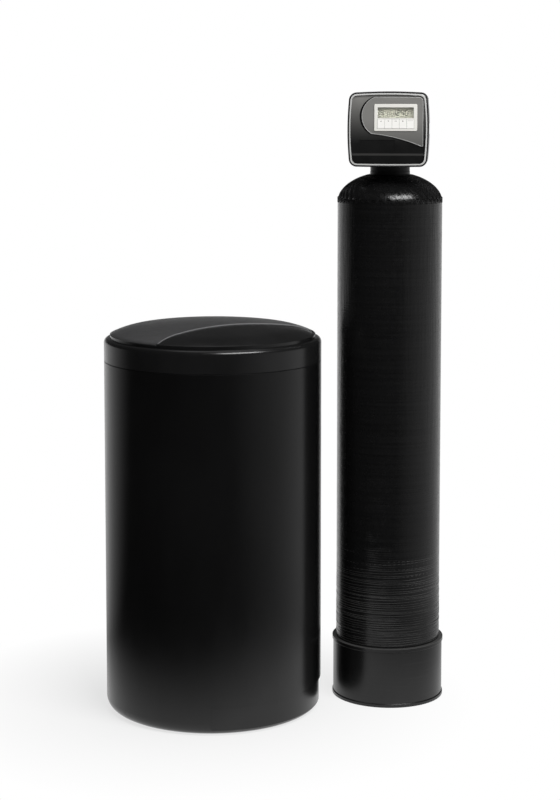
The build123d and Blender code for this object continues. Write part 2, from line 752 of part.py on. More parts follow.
def gear_axle():
    x, z = step_centre()
    return bar_y(AXLE_R, BRACKET_FRONT_Y, PLATE_FRONT_Y, x, z)


def motor_pinion():
    x, z = motor_centre()
    phase = MOTOR_AXIS_DEG + 180 + 180.0 / MOTOR_TEETH
    gear = toothed(MOTOR_TEETH, STEP_MODULE, STEP_FRONT_Y, STEP_BACK_Y, x, z, phase)
    return gear + bar_y(MOTOR_SHAFT_R, BRACKET_FRONT_Y - MOTOR_LONG / 2, STEP_FRONT_Y, x, z)


def motor():
    x, z = motor_centre()
    front = BRACKET_FRONT_Y - MOTOR_LONG
    shape = bar_y(MOTOR_R, front, BRACKET_FRONT_Y, x, z)
    shape = fillet(shape.edges().group_by(Axis.Y)[0], MOTOR_EDGE_R)
    shaft_end = front + MOTOR_LONG / 2 - CUT_RUN
    return shape - bar_y(MOTOR_SHAFT_R + SHAFT_GAP, shaft_end, BRACKET_FRONT_Y, x, z)


# Fittings behind the valve body

def fluted(shape, radius, front, back, x, z):
    """Shallow grip flutes round a nut that lies front to back."""
    for angle in pattern_round(NUT_FLUTES):
        fx = x + radius * math.cos(math.radians(angle))
        fz = z + radius * math.sin(math.radians(angle))
        shape -= bar_y(NUT_FLUTE_R, front, back, fx, fz)
    return shape


def port_seals():
    seals = []
    for side in (-1, 1):
        ring = bar_y(PORT_R, PORT_BACK_Y, PORT_BACK_Y + SEAL_THICK, side * PORT_X, BARREL_Z)
        hole = bar_y(PORT_BORE_R, PORT_BACK_Y, PORT_BACK_Y + SEAL_THICK, side * PORT_X, BARREL_Z)
        seals.append(ring - hole)
    return Compound(children=seals)


def port_tails():
    tails = []
    front = PORT_BACK_Y + SEAL_THICK
    for side in (-1, 1):
        x = side * PORT_X
        tail = bar_y(TAIL_R, front, front + TAIL_LONG, x, BARREL_Z)
        tail += bar_y(PORT_R, front, front + TAIL_FLANGE, x, BARREL_Z)
        tail -= bar_y(TAIL_BORE_R, front + TAIL_LONG - TAIL_SOCKET, front + TAIL_LONG, x, BARREL_Z)
        tails.append(tail - bar_y(TAIL_BORE_R - TAIL_STEP, front, front + TAIL_LONG, x, BARREL_Z))
    return Compound(children=tails)


def port_nuts():
    nuts = []
    lip = PORT_BACK_Y + SEAL_THICK + TAIL_FLANGE
    front = lip - NUT_LONG + TAIL_FLANGE
    for side in (-1, 1):
        x = side * PORT_X
        nut = fluted(bar_y(NUT_R, front, lip + TAIL_FLANGE, x, BARREL_Z), NUT_R + NUT_FLUTE_R / 2,
                     front, lip + TAIL_FLANGE, x, BARREL_Z)
        nut -= bar_y(PORT_R + THREAD_GAP, front, lip, x, BARREL_Z)
        nuts.append(nut - bar_y(TAIL_R + THREAD_GAP, front, lip + TAIL_FLANGE, x, BARREL_Z))
    return Compound(children=nuts)


ROTOR_FRONT_Y = PORT_BACK_Y - ROTOR_SETBACK - ROTOR_LONG
SPIDER_FRONT_Y = ROTOR_FRONT_Y - SPIDER_GAP - SPIDER_THICK


def meter_spider():
    """Cross that holds the rotor's pin in the outlet port."""
    x = -PORT_X
    reach = PORT_BORE_R - PRESS_GAP
    ring = bar_y(reach, SPIDER_FRONT_Y, SPIDER_FRONT_Y + SPIDER_THICK, x, BARREL_Z)
    ring -= bar_y(reach - BLADE_THICK, SPIDER_FRONT_Y, SPIDER_FRONT_Y + SPIDER_THICK, x, BARREL_Z)
    inner = reach - BLADE_THICK / 2
    back = SPIDER_FRONT_Y + SPIDER_THICK
    for long_x, long_z in ((inner, BLADE_THICK / 2), (BLADE_THICK / 2, inner)):
        ring += block((x - long_x, SPIDER_FRONT_Y, BARREL_Z - long_z), (x + long_x, back, BARREL_Z + long_z))
    pin_end = ROTOR_FRONT_Y + ROTOR_LONG + ROTOR_PIN_PROUD
    return ring + bar_y(ROTOR_PIN_R, SPIDER_FRONT_Y, pin_end, x, BARREL_Z)


def meter_rotor():
    x = -PORT_X
    back = ROTOR_FRONT_Y + ROTOR_LONG
    rotor = bar_y(ROTOR_HUB_R, ROTOR_FRONT_Y, back, x, BARREL_Z)
    blade = block((0, ROTOR_FRONT_Y, -BLADE_THICK / 2), (ROTOR_R, back, BLADE_THICK / 2))
    for angle in pattern_round(ROTOR_BLADES):
        rotor += Pos(x, 0, BARREL_Z) * Rot(0, angle, 0) * blade
    return rotor - bar_y(ROTOR_PIN_R + SHAFT_GAP, ROTOR_FRONT_Y, back, x, BARREL_Z)


def drain_elbow():
    top = DRAIN_BOSS_TOP + ELBOW_RISE
    z = top - DRAIN_BOSS_R
    elbow = rod(DRAIN_BOSS_R - DRAIN_SLIM, DRAIN_BOSS_TOP, top, DRAIN_X, DRAIN_Y)
    stub_end = DRAIN_Y + ELBOW_LONG
    elbow += bar_y(DRAIN_STUB_R + DRAIN_SLEEVE, DRAIN_Y, stub_end - DRAIN_STUB_LONG, DRAIN_X, z)
    elbow += bar_y(DRAIN_STUB_R, DRAIN_Y, stub_end, DRAIN_X, z)
    elbow += rod(DRAIN_BORE_R - PRESS_GAP, DRAIN_BOSS_TOP - DRAIN_BORE_R, DRAIN_BOSS_TOP, DRAIN_X, DRAIN_Y)
    bore = DRAIN_BORE_R - DRAIN_WALL
    elbow -= rod(bore, DRAIN_BOSS_TOP - DRAIN_BORE_R, z, DRAIN_X, DRAIN_Y)
    return elbow - bar_y(bore, DRAIN_Y, stub_end, DRAIN_X, z)


def drain_clip():
    """Spring clip in a collar round the drain joint."""
    low = DRAIN_BOSS_TOP - SEAL_THICK * 2
    ring = rod(DRAIN_BOSS_R + SEAL_THICK, low, low + SEAL_THICK, DRAIN_X, DRAIN_Y)
    ring -= rod(DRAIN_BOSS_R + PRESS_GAP, low, low + SEAL_THICK, DRAIN_X, DRAIN_Y)
    wide = DRAIN_BOSS_R * DRAIN_CLIP_SHARE
    slot = block((DRAIN_X - wide, DRAIN_Y, low),
                 (DRAIN_X + wide, DRAIN_Y + DRAIN_BOSS_R * 2, low + SEAL_THICK))
    return ring - slot


def injector():
    top = INJECTOR_BOSS_TOP - SEAL_THICK
    body = rod(INJECTOR_BORE_R - PRESS_GAP, INJECTOR_FLOOR, INJECTOR_FLOOR + SEAL_THICK, INJECTOR_X, DRAIN_Y)
    body += rod(INJECTOR_BORE_R / 2, INJECTOR_FLOOR, top, INJECTOR_X, DRAIN_Y)
    return body - rod(INJECTOR_THROAT_R, INJECTOR_FLOOR, top, INJECTOR_X, DRAIN_Y)


def injector_cap():
    top = INJECTOR_BOSS_TOP + INJECTOR_CAP_HIGH
    cap = rod(INJECTOR_CAP_R, INJECTOR_BOSS_TOP, top, INJECTOR_X, DRAIN_Y)
    ring_r = INJECTOR_CAP_R + INJECTOR_FLUTE_R / 2
    for angle in pattern_round(NUT_FLUTES):
        fx = INJECTOR_X + ring_r * math.cos(math.radians(angle))
        fy = DRAIN_Y + ring_r * math.sin(math.radians(angle))
        cap -= rod(INJECTOR_FLUTE_R, INJECTOR_BOSS_TOP, top, fx, fy)
    plug = rod(INJECTOR_BORE_R - PRESS_GAP, INJECTOR_BOSS_TOP - SEAL_THICK, INJECTOR_BOSS_TOP,
               INJECTOR_X, DRAIN_Y)
    return cap + plug


def brine_nut():
    """Compression nut that takes the brine tube."""
    front = BRINE_END_Y - BRINE_NUT_LONG
    prism = forward(Plane.XZ * RegularPolygon(BRINE_NUT_R, 6), BRINE_NUT_LONG)
    nut = Pos(INJECTOR_X, BRINE_END_Y, BRINE_PORT_Z) * prism
    return nut - bar_y(BRINE_TUBE_R, front, BRINE_END_Y, INJECTOR_X, BRINE_PORT_Z)


# Control head

def cover_outline(inset):
    """Front view of the cover: four bowed sides and round corners, as a face."""
    half = COVER_WIDE / 2 - inset
    corner = COVER_SHOULDER_WIDE / 2 - inset
    low = COVER_LOW + inset
    high = COVER_LOW + COVER_HIGH - inset
    shoulder = high - COVER_CROWN
    foot = low + COVER_CROWN / 3
    left = ThreePointArc((-corner, foot), (-half, FACE_MID_Z), (-corner, shoulder))
    top = ThreePointArc((-corner, shoulder), (0, high), (corner, shoulder))
    right = ThreePointArc((corner, shoulder), (half, FACE_MID_Z), (corner, foot))
    base = ThreePointArc((corner, foot), (0, low), (-corner, foot))
    face = make_face(Plane.XZ * Wire([left, top, right, base]))
    return fillet(face.vertices(), COVER_CORNER_R - inset)


def slab(face, front, back):
    """Face drawn on the XZ plane, made solid between two depths."""
    return Pos(0, back, 0) * forward(face, back - front)


def plate_xz(wide, high, front, back, x, z, corner=0.0):
    """Flat upright plate with optional round corners."""
    outline = RectangleRounded(wide, high, corner) if corner else Rectangle(wide, high)
    return Pos(x, back, z) * forward(Plane.XZ * outline, back - front)


def panel_outline():
    """Raised field round the display: a bow on the left, a sweep down to the right."""
    top = FACE_MID_Z + COVER_HIGH / 2 - RIM_WIDE - COVER_CROWN - PANEL_TOP_GAP
    right = COVER_SHOULDER_WIDE / 2 - RIM_WIDE - PANEL_SIDE_GAP
    start = (PANEL_START_X, top)
    bow, turn, sweep = [(x, FACE_MID_Z + up) for x, up in (PANEL_BOW, PANEL_TURN, PANEL_SWEEP)]
    end = (right, FACE_MID_Z - PANEL_END_DROP)
    corner = (right, top)
    edges = [ThreePointArc(start, bow, turn), ThreePointArc(turn, sweep, end),
             Line(end, corner), Line(corner, start)]
    face = make_face(Plane.XZ * Wire(edges))
    outer = face.vertices().sort_by(lambda v: v.X + v.Z)[-1]
    return fillet(outer, COVER_CORNER_R / 2)


def button_x(index):
    return DISPLAY_X + BUTTON_PITCH * (index - (BUTTON_COUNT - 1) / 2)


def front_cover():
    shell = slab(cover_outline(0), COVER_RIM_Y, COVER_BACK_Y)
    front_edges = shell.edges().group_by(Axis.Y)[0]
    shell = fillet(front_edges, COVER_EDGE_R)
    panel = panel_outline()
    sunk = slab(cover_outline(RIM_WIDE), COVER_RIM_Y - CUT_RUN, FACE_Y)
    shell -= sunk
    bow = slab(panel, PANEL_Y, FACE_Y + CUT_RUN)
    groove = Pos(-GROOVE_WIDE, 0, 0) * slab(panel, FACE_Y - CUT_RUN, FACE_Y + GROOVE_DEEP)
    field = slab(cover_outline(RIM_WIDE + CUT_RUN), FACE_Y - CUT_RUN, FACE_Y + GROOVE_DEEP)
    shell -= groove & field
    shell += bow & slab(cover_outline(RIM_WIDE), PANEL_Y, INNER_FACE_Y)
    shell -= slab(cover_outline(COVER_WALL), INNER_FACE_Y, COVER_BACK_Y)
    shell -= plate_xz(LABEL_WIDE, LABEL_HIGH, FACE_Y - CUT_RUN, FACE_Y + LABEL_DEEP,
                      LABEL_X, FACE_MID_Z - LABEL_DROP)
    for side in (-1, 1):
        reach = side * (COVER_WIDE / 2 - COVER_WALL + NOTCH_FLOOR)
        outside = side * (COVER_WIDE / 2 + CUT_RUN)
        low = (min(reach, outside), COVER_BACK_Y - NOTCH_LONG, FACE_MID_Z - NOTCH_HIGH / 2)
        high = (max(reach, outside), COVER_BACK_Y + CUT_RUN, FACE_MID_Z + NOTCH_HIGH / 2)
        shell -= block(low, high)
    opening_wide = BEZEL_WIDE - 2 * BEZEL_CORNER_R
    opening_high = BEZEL_HIGH - 2 * BEZEL_CORNER_R
    shell -= plate_xz(opening_wide, opening_high, BEZEL_Y, INNER_FACE_Y + CUT_RUN, DISPLAY_X, DISPLAY_Z)
    return shell - plate_xz(BEZEL_WIDE, BEZEL_HIGH, BEZEL_Y, BEZEL_Y + BEZEL_THICK,
                            DISPLAY_X, DISPLAY_Z, BEZEL_CORNER_R)


def bezel():
    back = BEZEL_Y + BEZEL_THICK
    frame = plate_xz(BEZEL_WIDE, BEZEL_HIGH, BEZEL_Y, back, DISPLAY_X, DISPLAY_Z, BEZEL_CORNER_R)
    frame = fillet(frame.edges().group_by(Axis.Y)[0], BEZEL_EDGE_R)
    frame -= plate_xz(WINDOW_WIDE, WINDOW_HIGH, BEZEL_Y, back, DISPLAY_X, WINDOW_Z)
    wide = BUTTON_PITCH * BUTTON_COUNT + SLIDE_GAP
    return frame - plate_xz(wide, BUTTON_HIGH + 2 * SLIDE_GAP, BEZEL_Y, back, DISPLAY_X, BUTTON_Z)


def display_window():
    front = BEZEL_Y + BEZEL_THICK
    return plate_xz(WINDOW_WIDE + 2 * WINDOW_LAP, WINDOW_HIGH + 2 * WINDOW_LAP,
                    front, front + WINDOW_THICK, DISPLAY_X, WINDOW_Z)


def button(index):
    """Key cap with a wider foot behind the bezel and a plunger."""
    x = button_x(index)
    cap_front = BEZEL_Y - BUTTON_PROUD
    cap_back = BEZEL_Y + BEZEL_THICK + BUTTON_LAP / 2
    wide = BUTTON_PITCH - SLIDE_GAP
    cap = plate_xz(wide, BUTTON_HIGH, cap_front, cap_back, x, BUTTON_Z, BUTTON_CORNER_R)
    cap = fillet(cap.edges().group_by(Axis.Y)[0], BUTTON_EDGE_R)
    foot = plate_xz(wide, BUTTON_HIGH + 2 * BUTTON_LAP, cap_back, cap_back + BUTTON_LAP, x, BUTTON_Z)
    switch_front = BOARD_FRONT_Y - SWITCH_HIGH
    return cap + foot + bar_y(PLUNGER_R, cap_back, switch_front - BUTTON_TRAVEL, x, BUTTON_Z)


def back_plate():
    plate = slab(cover_outline(COVER_WALL + SLIDE_GAP), PLATE_FRONT_Y, PLATE_BACK_Y)
    for side in (-1, 1):
        for up in (-1, 1):
            x = side * POST_X
            z = FACE_MID_Z + up * POST_UP
            plate += bar_y(POST_R, BRACKET_Y, PLATE_FRONT_Y, x, z)
            plate -= bar_y(SCREW_R, BRACKET_Y, BRACKET_Y + SCREW_DEEP + CUT_RUN, x, z)
    plate -= bar_y(BARREL_BORE_R, PLATE_FRONT_Y, PLATE_BACK_Y, 0, BARREL_Z)
    return plate - bar_y(GLAND_R, PLATE_FRONT_Y, PLATE_BACK_Y, LEAD_X, COVER_LOW + LEAD_RISE)


def power_gland():
    z = COVER_LOW + LEAD_RISE
    gland = bar_y(GLAND_FLANGE_R, PLATE_BACK_Y, PLATE_BACK_Y + SEAL_THICK, LEAD_X, z)
    gland += bar_y(GLAND_R, PLATE_FRONT_Y - SEAL_THICK, PLATE_BACK_Y + GLAND_LONG, LEAD_X, z)
    return gland - bar_y(LEAD_R, PLATE_FRONT_Y - SEAL_THICK, PLATE_BACK_Y + GLAND_LONG, LEAD_X, z)


def drive_bracket():
    plate = plate_xz(BRACKET_WIDE, BRACKET_HIGH, BRACKET_FRONT_Y, BRACKET_Y, 0, FACE_MID_Z, POST_R)
    plate -= bar_y(BRACKET_HOLE_R, BRACKET_FRONT_Y, BRACKET_Y, 0, BARREL_Z)
    motor_x, motor_z = motor_centre()
    plate -= bar_y(MOTOR_SHAFT_R * 2, BRACKET_FRONT_Y, BRACKET_Y, motor_x, motor_z)
    step_x, step_z = step_centre()
    plate -= bar_y(AXLE_R, BRACKET_FRONT_Y, BRACKET_Y, step_x, step_z)
    for side in (-1, 1):
        for up in (-1, 1):
            plate -= bar_y(SCREW_R, BRACKET_FRONT_Y, BRACKET_Y, side * POST_X, FACE_MID_Z + up * POST_UP)
            plate += bar_y(BOARD_POST_R, BOARD_Y, BRACKET_FRONT_Y, side * BOARD_POST_X,
                           FACE_MID_Z + up * BOARD_POST_UP)
    return plate


def bracket_screws():
    screws = []
    for side in (-1, 1):
        for up in (-1, 1):
            x = side * POST_X
            z = FACE_MID_Z + up * POST_UP
            screw = bar_y(SCREW_HEAD_R, BRACKET_FRONT_Y - SCREW_HEAD_HIGH, BRACKET_FRONT_Y, x, z)
            screws.append(screw + bar_y(SCREW_R - PRESS_GAP, BRACKET_FRONT_Y, BRACKET_Y + SCREW_DEEP, x, z))
    return Compound(children=screws)


def circuit_board():
    board = plate_xz(BOARD_WIDE, BOARD_HIGH, BOARD_FRONT_Y, BOARD_Y, 0, FACE_MID_Z)
    for index in range(BUTTON_COUNT):
        board += bar_y(SWITCH_R, BOARD_FRONT_Y - SWITCH_HIGH, BOARD_FRONT_Y, button_x(index), BUTTON_Z)
    half = RELAY_SIDE / 2
    for step in range(RELAY_COUNT):
        x = -BOARD_WIDE / 4 + step * RELAY_PITCH
        low_z = FACE_MID_Z - BOARD_HIGH / 2 + RELAY_SIDE / 2
        low = (x - half, BOARD_FRONT_Y - RELAY_SIDE / 2, low_z)
        board += block(low, (x + half, BOARD_FRONT_Y, low_z + RELAY_SIDE))
    return board


def lcd():
    wide = WINDOW_WIDE + 2 * LCD_MARGIN
    high = WINDOW_HIGH + 2 * LCD_MARGIN
    return plate_xz(wide, high, BOARD_FRONT_Y - LCD_THICK, BOARD_FRONT_Y, DISPLAY_X, WINDOW_Z)


# Brine tank and lid, drawn about the brine tank's axis and then placed

def at_brine(shape):
    return Pos(BRINE_X, BRINE_Y, 0) * shape


def sector(radius, from_deg, sweep_deg, low, high):
    """Upright wedge between two angles."""
    start = Vector(radius, 0).rotate(Axis.Z, from_deg)
    middle = Vector(radius, 0).rotate(Axis.Z, from_deg + sweep_deg / 2)
    end = Vector(radius, 0).rotate(Axis.Z, from_deg + sweep_deg)
    edges = [Line((0, 0), start), ThreePointArc(start, middle, end), Line(end, (0, 0))]
    return Pos(0, 0, low) * extrude(make_face(Wire(edges)), high - low)


def can(radius, low, high, foot_r):
    """Round can with a rounded foot edge."""
    edges = [Line((0, low), (radius - foot_r, low)),
             RadiusArc((radius - foot_r, low), (radius, low + foot_r), -foot_r),
             Line((radius, low + foot_r), (radius, high)),
             Line((radius, high), (0, high)), Line((0, high), (0, low))]
    return turned(*edges)


def wall_slice(sweep_extra, outer_r, inner_r, low, high):
    """Curved bar that follows the tank's wall along the recess."""
    start = RECESS_FROM_DEG - sweep_extra
    wedge = sector(outer_r, start, RECESS_SWEEP_DEG + 2 * sweep_extra, low, high)
    return wedge - rod(inner_r, low, high)


def brine_tank():
    outer = can(BRINE_R, 0, JOINT_Z, BRINE_FOOT_R)
    outer = chamfer(outer.edges().group_by(Axis.Z)[-1], JOINT_CHAMFER)
    outer += rod(RIM_R, JOINT_Z - BRINE_WALL, RIM_TOP)
    recess = wall_slice(0, BRINE_R + CUT_RUN, BRINE_R - RECESS_DEEP, -CUT_RUN, RECESS_HIGH)
    inner_r = RIM_R - BRINE_WALL
    inner = can(BRINE_R - BRINE_WALL, BRINE_FLOOR, JOINT_Z - BRINE_WALL, BRINE_FOOT_R - BRINE_WALL)
    inner += rod(inner_r, JOINT_Z - BRINE_WALL - CUT_RUN, RIM_TOP)
    thick = BRINE_WALL + RECESS_DEEP
    spread = math.degrees(BRINE_WALL / BRINE_R)
    inner -= wall_slice(spread, BRINE_R + CUT_RUN, BRINE_R - thick, 0, RECESS_HIGH + BRINE_WALL)
    tank = outer - recess - inner
    tank -= through_wall(LINE_R, LINE_Z, WELL_DEG)
    return at_brine(tank - through_wall(OVERFLOW_R, OVERFLOW_Z, OVERFLOW_DEG))


def through_wall(radius, z, angle):
    """Round hole drilled through the brine tank's wall."""
    return Rot(0, 0, angle) * bar_x(radius, BRINE_R - WALL_REACH, BRINE_R + WALL_REACH, 0, z)


def dome_edges(inset, drop):
    """Dome profile, crown then rim, drawn in by an inset and lowered by a drop."""
    apex = (0, DOME_TOP_Z - drop)
    middle = (DOME_MID_R - inset, DOME_MID_Z - drop)
    edge = (DOME_EDGE_R - inset, DOME_EDGE_Z - drop)
    sink = apex[1] - middle[1]
    crown = RadiusArc(apex, middle, (middle[0] ** 2 + sink ** 2) / (2 * sink))
    return crown, TangentArc(middle, edge, tangent=crown % 1)


def lid_shell():
    """Skirt, round shoulder, groove and dome as one turned wall."""
    crown, rim = dome_edges(0, 0)
    inner_crown, inner_rim = dome_edges(LID_WALL, LID_WALL + DOME_STEP)
    top = LID_SHOULDER_Z + LID_SHOULDER_R
    bend_r = BRINE_R - LID_SHOULDER_R
    inner_r = BRINE_R - LID_WALL
    inner_round = LID_SHOULDER_R / 2
    inner_top = top - LID_WALL
    shoulder = RadiusArc((bend_r, top), (BRINE_R, LID_SHOULDER_Z), LID_SHOULDER_R)
    inner_bend = RadiusArc((inner_r, inner_top - inner_round), (inner_r - inner_round, inner_top),
                           -inner_round)
    groove = Polyline(rim @ 1, (DOME_EDGE_R, top), shoulder @ 0)
    skirt = Polyline(shoulder @ 1, (BRINE_R, JOINT_Z + JOINT_CHAMFER), (BRINE_R - JOINT_CHAMFER, JOINT_Z),
                     (inner_r, JOINT_Z), inner_bend @ 0)
    ledge = Polyline(inner_bend @ 1, (DOME_EDGE_R - LID_WALL, inner_top), inner_rim @ 1)
    axis = Line(inner_crown @ 0, crown @ 0)
    return turned(crown, rim, *groove.edges(), shoulder, *skirt.edges(), inner_bend,
                  *ledge.edges(), inner_rim, inner_crown, axis)


def under_dome(drop):
    """Solid below the dome, lowered by a drop."""
    crown, rim = dome_edges(0, drop)
    foot = Polyline(rim @ 1, (DOME_EDGE_R, JOINT_Z), (0, JOINT_Z), crown @ 0)
    return turned(crown, rim, *foot.edges())


def lid():
    """Lid whose dome steps down in front of a long curved ridge."""
    ridge = math.radians(RIDGE_DEG)
    away = RIDGE_SHIFT + RIDGE_ARC_R
    top = DOME_TOP_Z + LID_SHOULDER_R
    field = rod(RIDGE_ARC_R, JOINT_Z, top, -away * math.cos(ridge), -away * math.sin(ridge))
    field &= rod(DOME_EDGE_R - LID_WALL, JOINT_Z, top)
    return at_brine(lid_shell() - (field - under_dome(DOME_STEP)))


def brine_well():
    low = BRINE_FLOOR
    tube = rod(WELL_R, low, WELL_TOP) - rod(WELL_R - WELL_WALL, low, WELL_TOP)
    for angle in pattern_round(WELL_SLOTS, 180.0 / WELL_SLOTS):
        base = low + WELL_SLOT_LIFT
        slot = block((0, -WELL_SLOT_WIDE / 2, base),
                     (WELL_R + CUT_RUN, WELL_SLOT_WIDE / 2, base + WELL_SLOT_HIGH))
        tube -= Rot(0, 0, angle) * slot
    tube -= Rot(0, 0, WELL_DEG) * bar_x(LINE_R, WELL_R / 2, WELL_R + CUT_RUN, 0, LINE_Z)
    return Pos(WELL_X, WELL_Y, 0) * tube


def well_cap():
    inner_r = WELL_R + SLIDE_GAP
    outer_r = inner_r + WELL_CAP_WALL
    top = WELL_TOP + WELL_CAP_WALL
    cap = rod(outer_r, WELL_TOP - WELL_CAP_SKIRT, top) - rod(inner_r, WELL_TOP - WELL_CAP_SKIRT, WELL_TOP)
    cap += rod(WELL_CAP_GRIP_R, top, top + WELL_CAP_GRIP_HIGH)
    return Pos(WELL_X, WELL_Y, 0) * cap


def salt_grid():
    plate = rod(GRID_R, GRID_Z, GRID_Z + GRID_THICK)
    low = BRINE_FLOOR
    for angle in pattern_round(GRID_LEGS, GRID_LEG_FROM_DEG):
        plate += Rot(0, 0, angle) * rod(GRID_LEG_R, low, GRID_Z, GRID_LEG_RING_R, 0)
    clear_r = WELL_R + GRID_WELL_GAP
    well_x = WELL_X - BRINE_X
    well_y = WELL_Y - BRINE_Y
    holes = []
    for ring in range(GRID_RINGS):
        ring_r = GRID_RING_PITCH * (ring + GRID_FIRST_SHARE)
        count = int(2 * math.pi * ring_r / GRID_HOLE_PITCH)
        for angle in pattern_round(count):
            x = ring_r * math.cos(math.radians(angle))
            y = ring_r * math.sin(math.radians(angle))
            if math.hypot(x - well_x, y - well_y) > clear_r + 2 * GRID_HOLE_R and leg_clear(x, y):
                holes.append(rod(GRID_HOLE_R, GRID_Z, GRID_Z + GRID_THICK, x, y))
    plate -= Compound(children=holes)
    return at_brine(plate - rod(clear_r, low, GRID_Z + GRID_THICK, well_x, well_y))


def leg_clear(x, y):
    """Whether a hole at a spot stays clear of the grid's legs."""
    legs = [math.radians(angle) for angle in pattern_round(GRID_LEGS, GRID_LEG_FROM_DEG)]
    spots = [(GRID_LEG_RING_R * math.cos(a), GRID_LEG_RING_R * math.sin(a)) for a in legs]
    return all(math.hypot(x - u, y - v) > GRID_LEG_R + GRID_HOLE_R + GRID_LEG_GAP for u, v in spots)


# Safety float and air check, drawn about the well's axis and then placed

def at_well(shape):
    return Pos(WELL_X, WELL_Y, 0) * Rot(0, 0, WELL_DEG) * shape


VALVE_TOP = VALVE_Z + VALVE_HIGH / 2
VALVE_LOW = VALVE_Z - VALVE_HIGH / 2
ROD_TOP = VALVE_LOW + FLOAT_ROD_IN
ROD_LOW = FLOAT_LOW - FLOAT_ROD_TAIL
ROD_ROOM_TOP = ROD_TOP + FLOAT_TRAVEL + FLOAT_ROD_ROOM


def safety_valve():
    """Housing hung from the wall fitting, with the float rod running up into it."""
    body = rod(VALVE_R, VALVE_LOW, VALVE_TOP)
    body += bar_x(LINE_R + ARM_WALL, 0, ARM_END, 0, VALVE_Z)
    boss_r = PICKUP_R + PICKUP_BOSS_WALL
    body += bar_x(boss_r, PICKUP_X, 0, 0, VALVE_LOW + PICKUP_ARM_UP)
    body += rod(boss_r, VALVE_LOW, VALVE_LOW + PICKUP_BOSS_HIGH, PICKUP_X, 0)
    body -= rod(FLOAT_ROD_R + SHAFT_GAP, VALVE_LOW, ROD_ROOM_TOP)
    body -= rod(VALVE_PORT_R, ROD_ROOM_TOP, VALVE_TOP - VALVE_ROOF)
    body -= bar_x(BRINE_TUBE_R - PICKUP_WALL, 0, WELL_R, 0, VALVE_Z)
    return at_well(body - rod(PICKUP_R + PRESS_GAP, VALVE_LOW, VALVE_LOW + PICKUP_IN, PICKUP_X, 0))


def float_body():
    top = FLOAT_LOW + FLOAT_HIGH
    shape = rod(FLOAT_R, FLOAT_LOW, top)
    shape = fillet(shape.edges().filter_by(GeomType.CIRCLE), FLOAT_EDGE_R)
    return at_well(shape - rod(FLOAT_ROD_R, FLOAT_LOW, top))


def float_rod():
    top = FLOAT_LOW + FLOAT_HIGH
    stem = rod(FLOAT_ROD_R, ROD_LOW, ROD_TOP)
    stem += rod(FLOAT_COLLAR_R, FLOAT_LOW - FLOAT_COLLAR_HIGH, FLOAT_LOW)
    return at_well(stem + rod(FLOAT_COLLAR_R, top, top + FLOAT_COLLAR_HIGH))


def pickup_tube():
    low = CHECK_LOW + CHECK_HIGH - PICKUP_SEAT
    high = VALVE_LOW + PICKUP_IN
    tube = rod(PICKUP_R, low, high, PICKUP_X, 0) - rod(PICKUP_R - PICKUP_WALL, low, high, PICKUP_X, 0)
    return at_well(tube)


def air_check():
    """Cage at the foot of the pickup tube with a seat above its ball."""
    top = CHECK_LOW + CHECK_HIGH
    ball_room = BALL_R + SLIDE_GAP
    room_low = CHECK_LOW + CHECK_WALL
    room_top = room_low + 2 * BALL_R + BALL_TRAVEL + 2 * SLIDE_GAP
    cage = rod(CHECK_R, BRINE_FLOOR, top, PICKUP_X, 0)
    cage -= rod(ball_room, room_low, room_top, PICKUP_X, 0)
    cage -= rod(PICKUP_R - PICKUP_WALL, room_top, top, PICKUP_X, 0)
    cage -= rod(PICKUP_R + PRESS_GAP, top - PICKUP_SEAT, top, PICKUP_X, 0)
    reach = CHECK_R + CUT_RUN
    window = block((PICKUP_X - reach, -BALL_R / 2, room_low),
                   (PICKUP_X + reach, BALL_R / 2, room_low + BALL_R * 2))
    return at_well(cage - window)


def check_ball():
    z = CHECK_LOW + CHECK_WALL + BALL_R
    return at_well(Pos(PICKUP_X, 0, z) * Sphere(BALL_R))


# Fittings through the brine tank's wall

def wall_fitting(shape, angle):
    return at_brine(Rot(0, 0, angle) * shape)


def line_fitting():
    """Hollow spigot from the well through the tank wall, with a shoulder inside."""
    well_out = WELL_AWAY + WELL_R
    inner_end = WELL_AWAY + ARM_END
    body = bar_x(LINE_R - PRESS_GAP, inner_end, BRINE_R + LINE_LONG, 0, LINE_Z)
    shoulder_end = BRINE_R - BRINE_WALL - LINE_SEAT_GAP
    body += bar_x(LINE_R + LINE_SHOULDER, well_out + LINE_END_GAP, shoulder_end, 0, LINE_Z)
    return wall_fitting(body - bar_x(BRINE_TUBE_R, inner_end, BRINE_R + LINE_LONG, 0, LINE_Z), WELL_DEG)


def hex_nut(radius, start, length, z):
    prism = extrude(Plane.YZ * RegularPolygon(radius, 6), length)
    return Pos(start, 0, z) * prism


def line_nut():
    start = BRINE_R + NUT_SEAT_GAP
    nut = hex_nut(LINE_NUT_R, start, LINE_NUT_LONG, LINE_Z)
    return wall_fitting(nut - bar_x(LINE_R + PRESS_GAP, start, start + LINE_NUT_LONG, 0, LINE_Z), WELL_DEG)


def overflow_gasket():
    start = BRINE_R + SLIDE_GAP
    ring = bar_x(OVERFLOW_FLANGE_R, start, start + GASKET_THICK, 0, OVERFLOW_Z)
    return wall_fitting(ring - bar_x(OVERFLOW_R, start, start + GASKET_THICK, 0, OVERFLOW_Z), OVERFLOW_DEG)


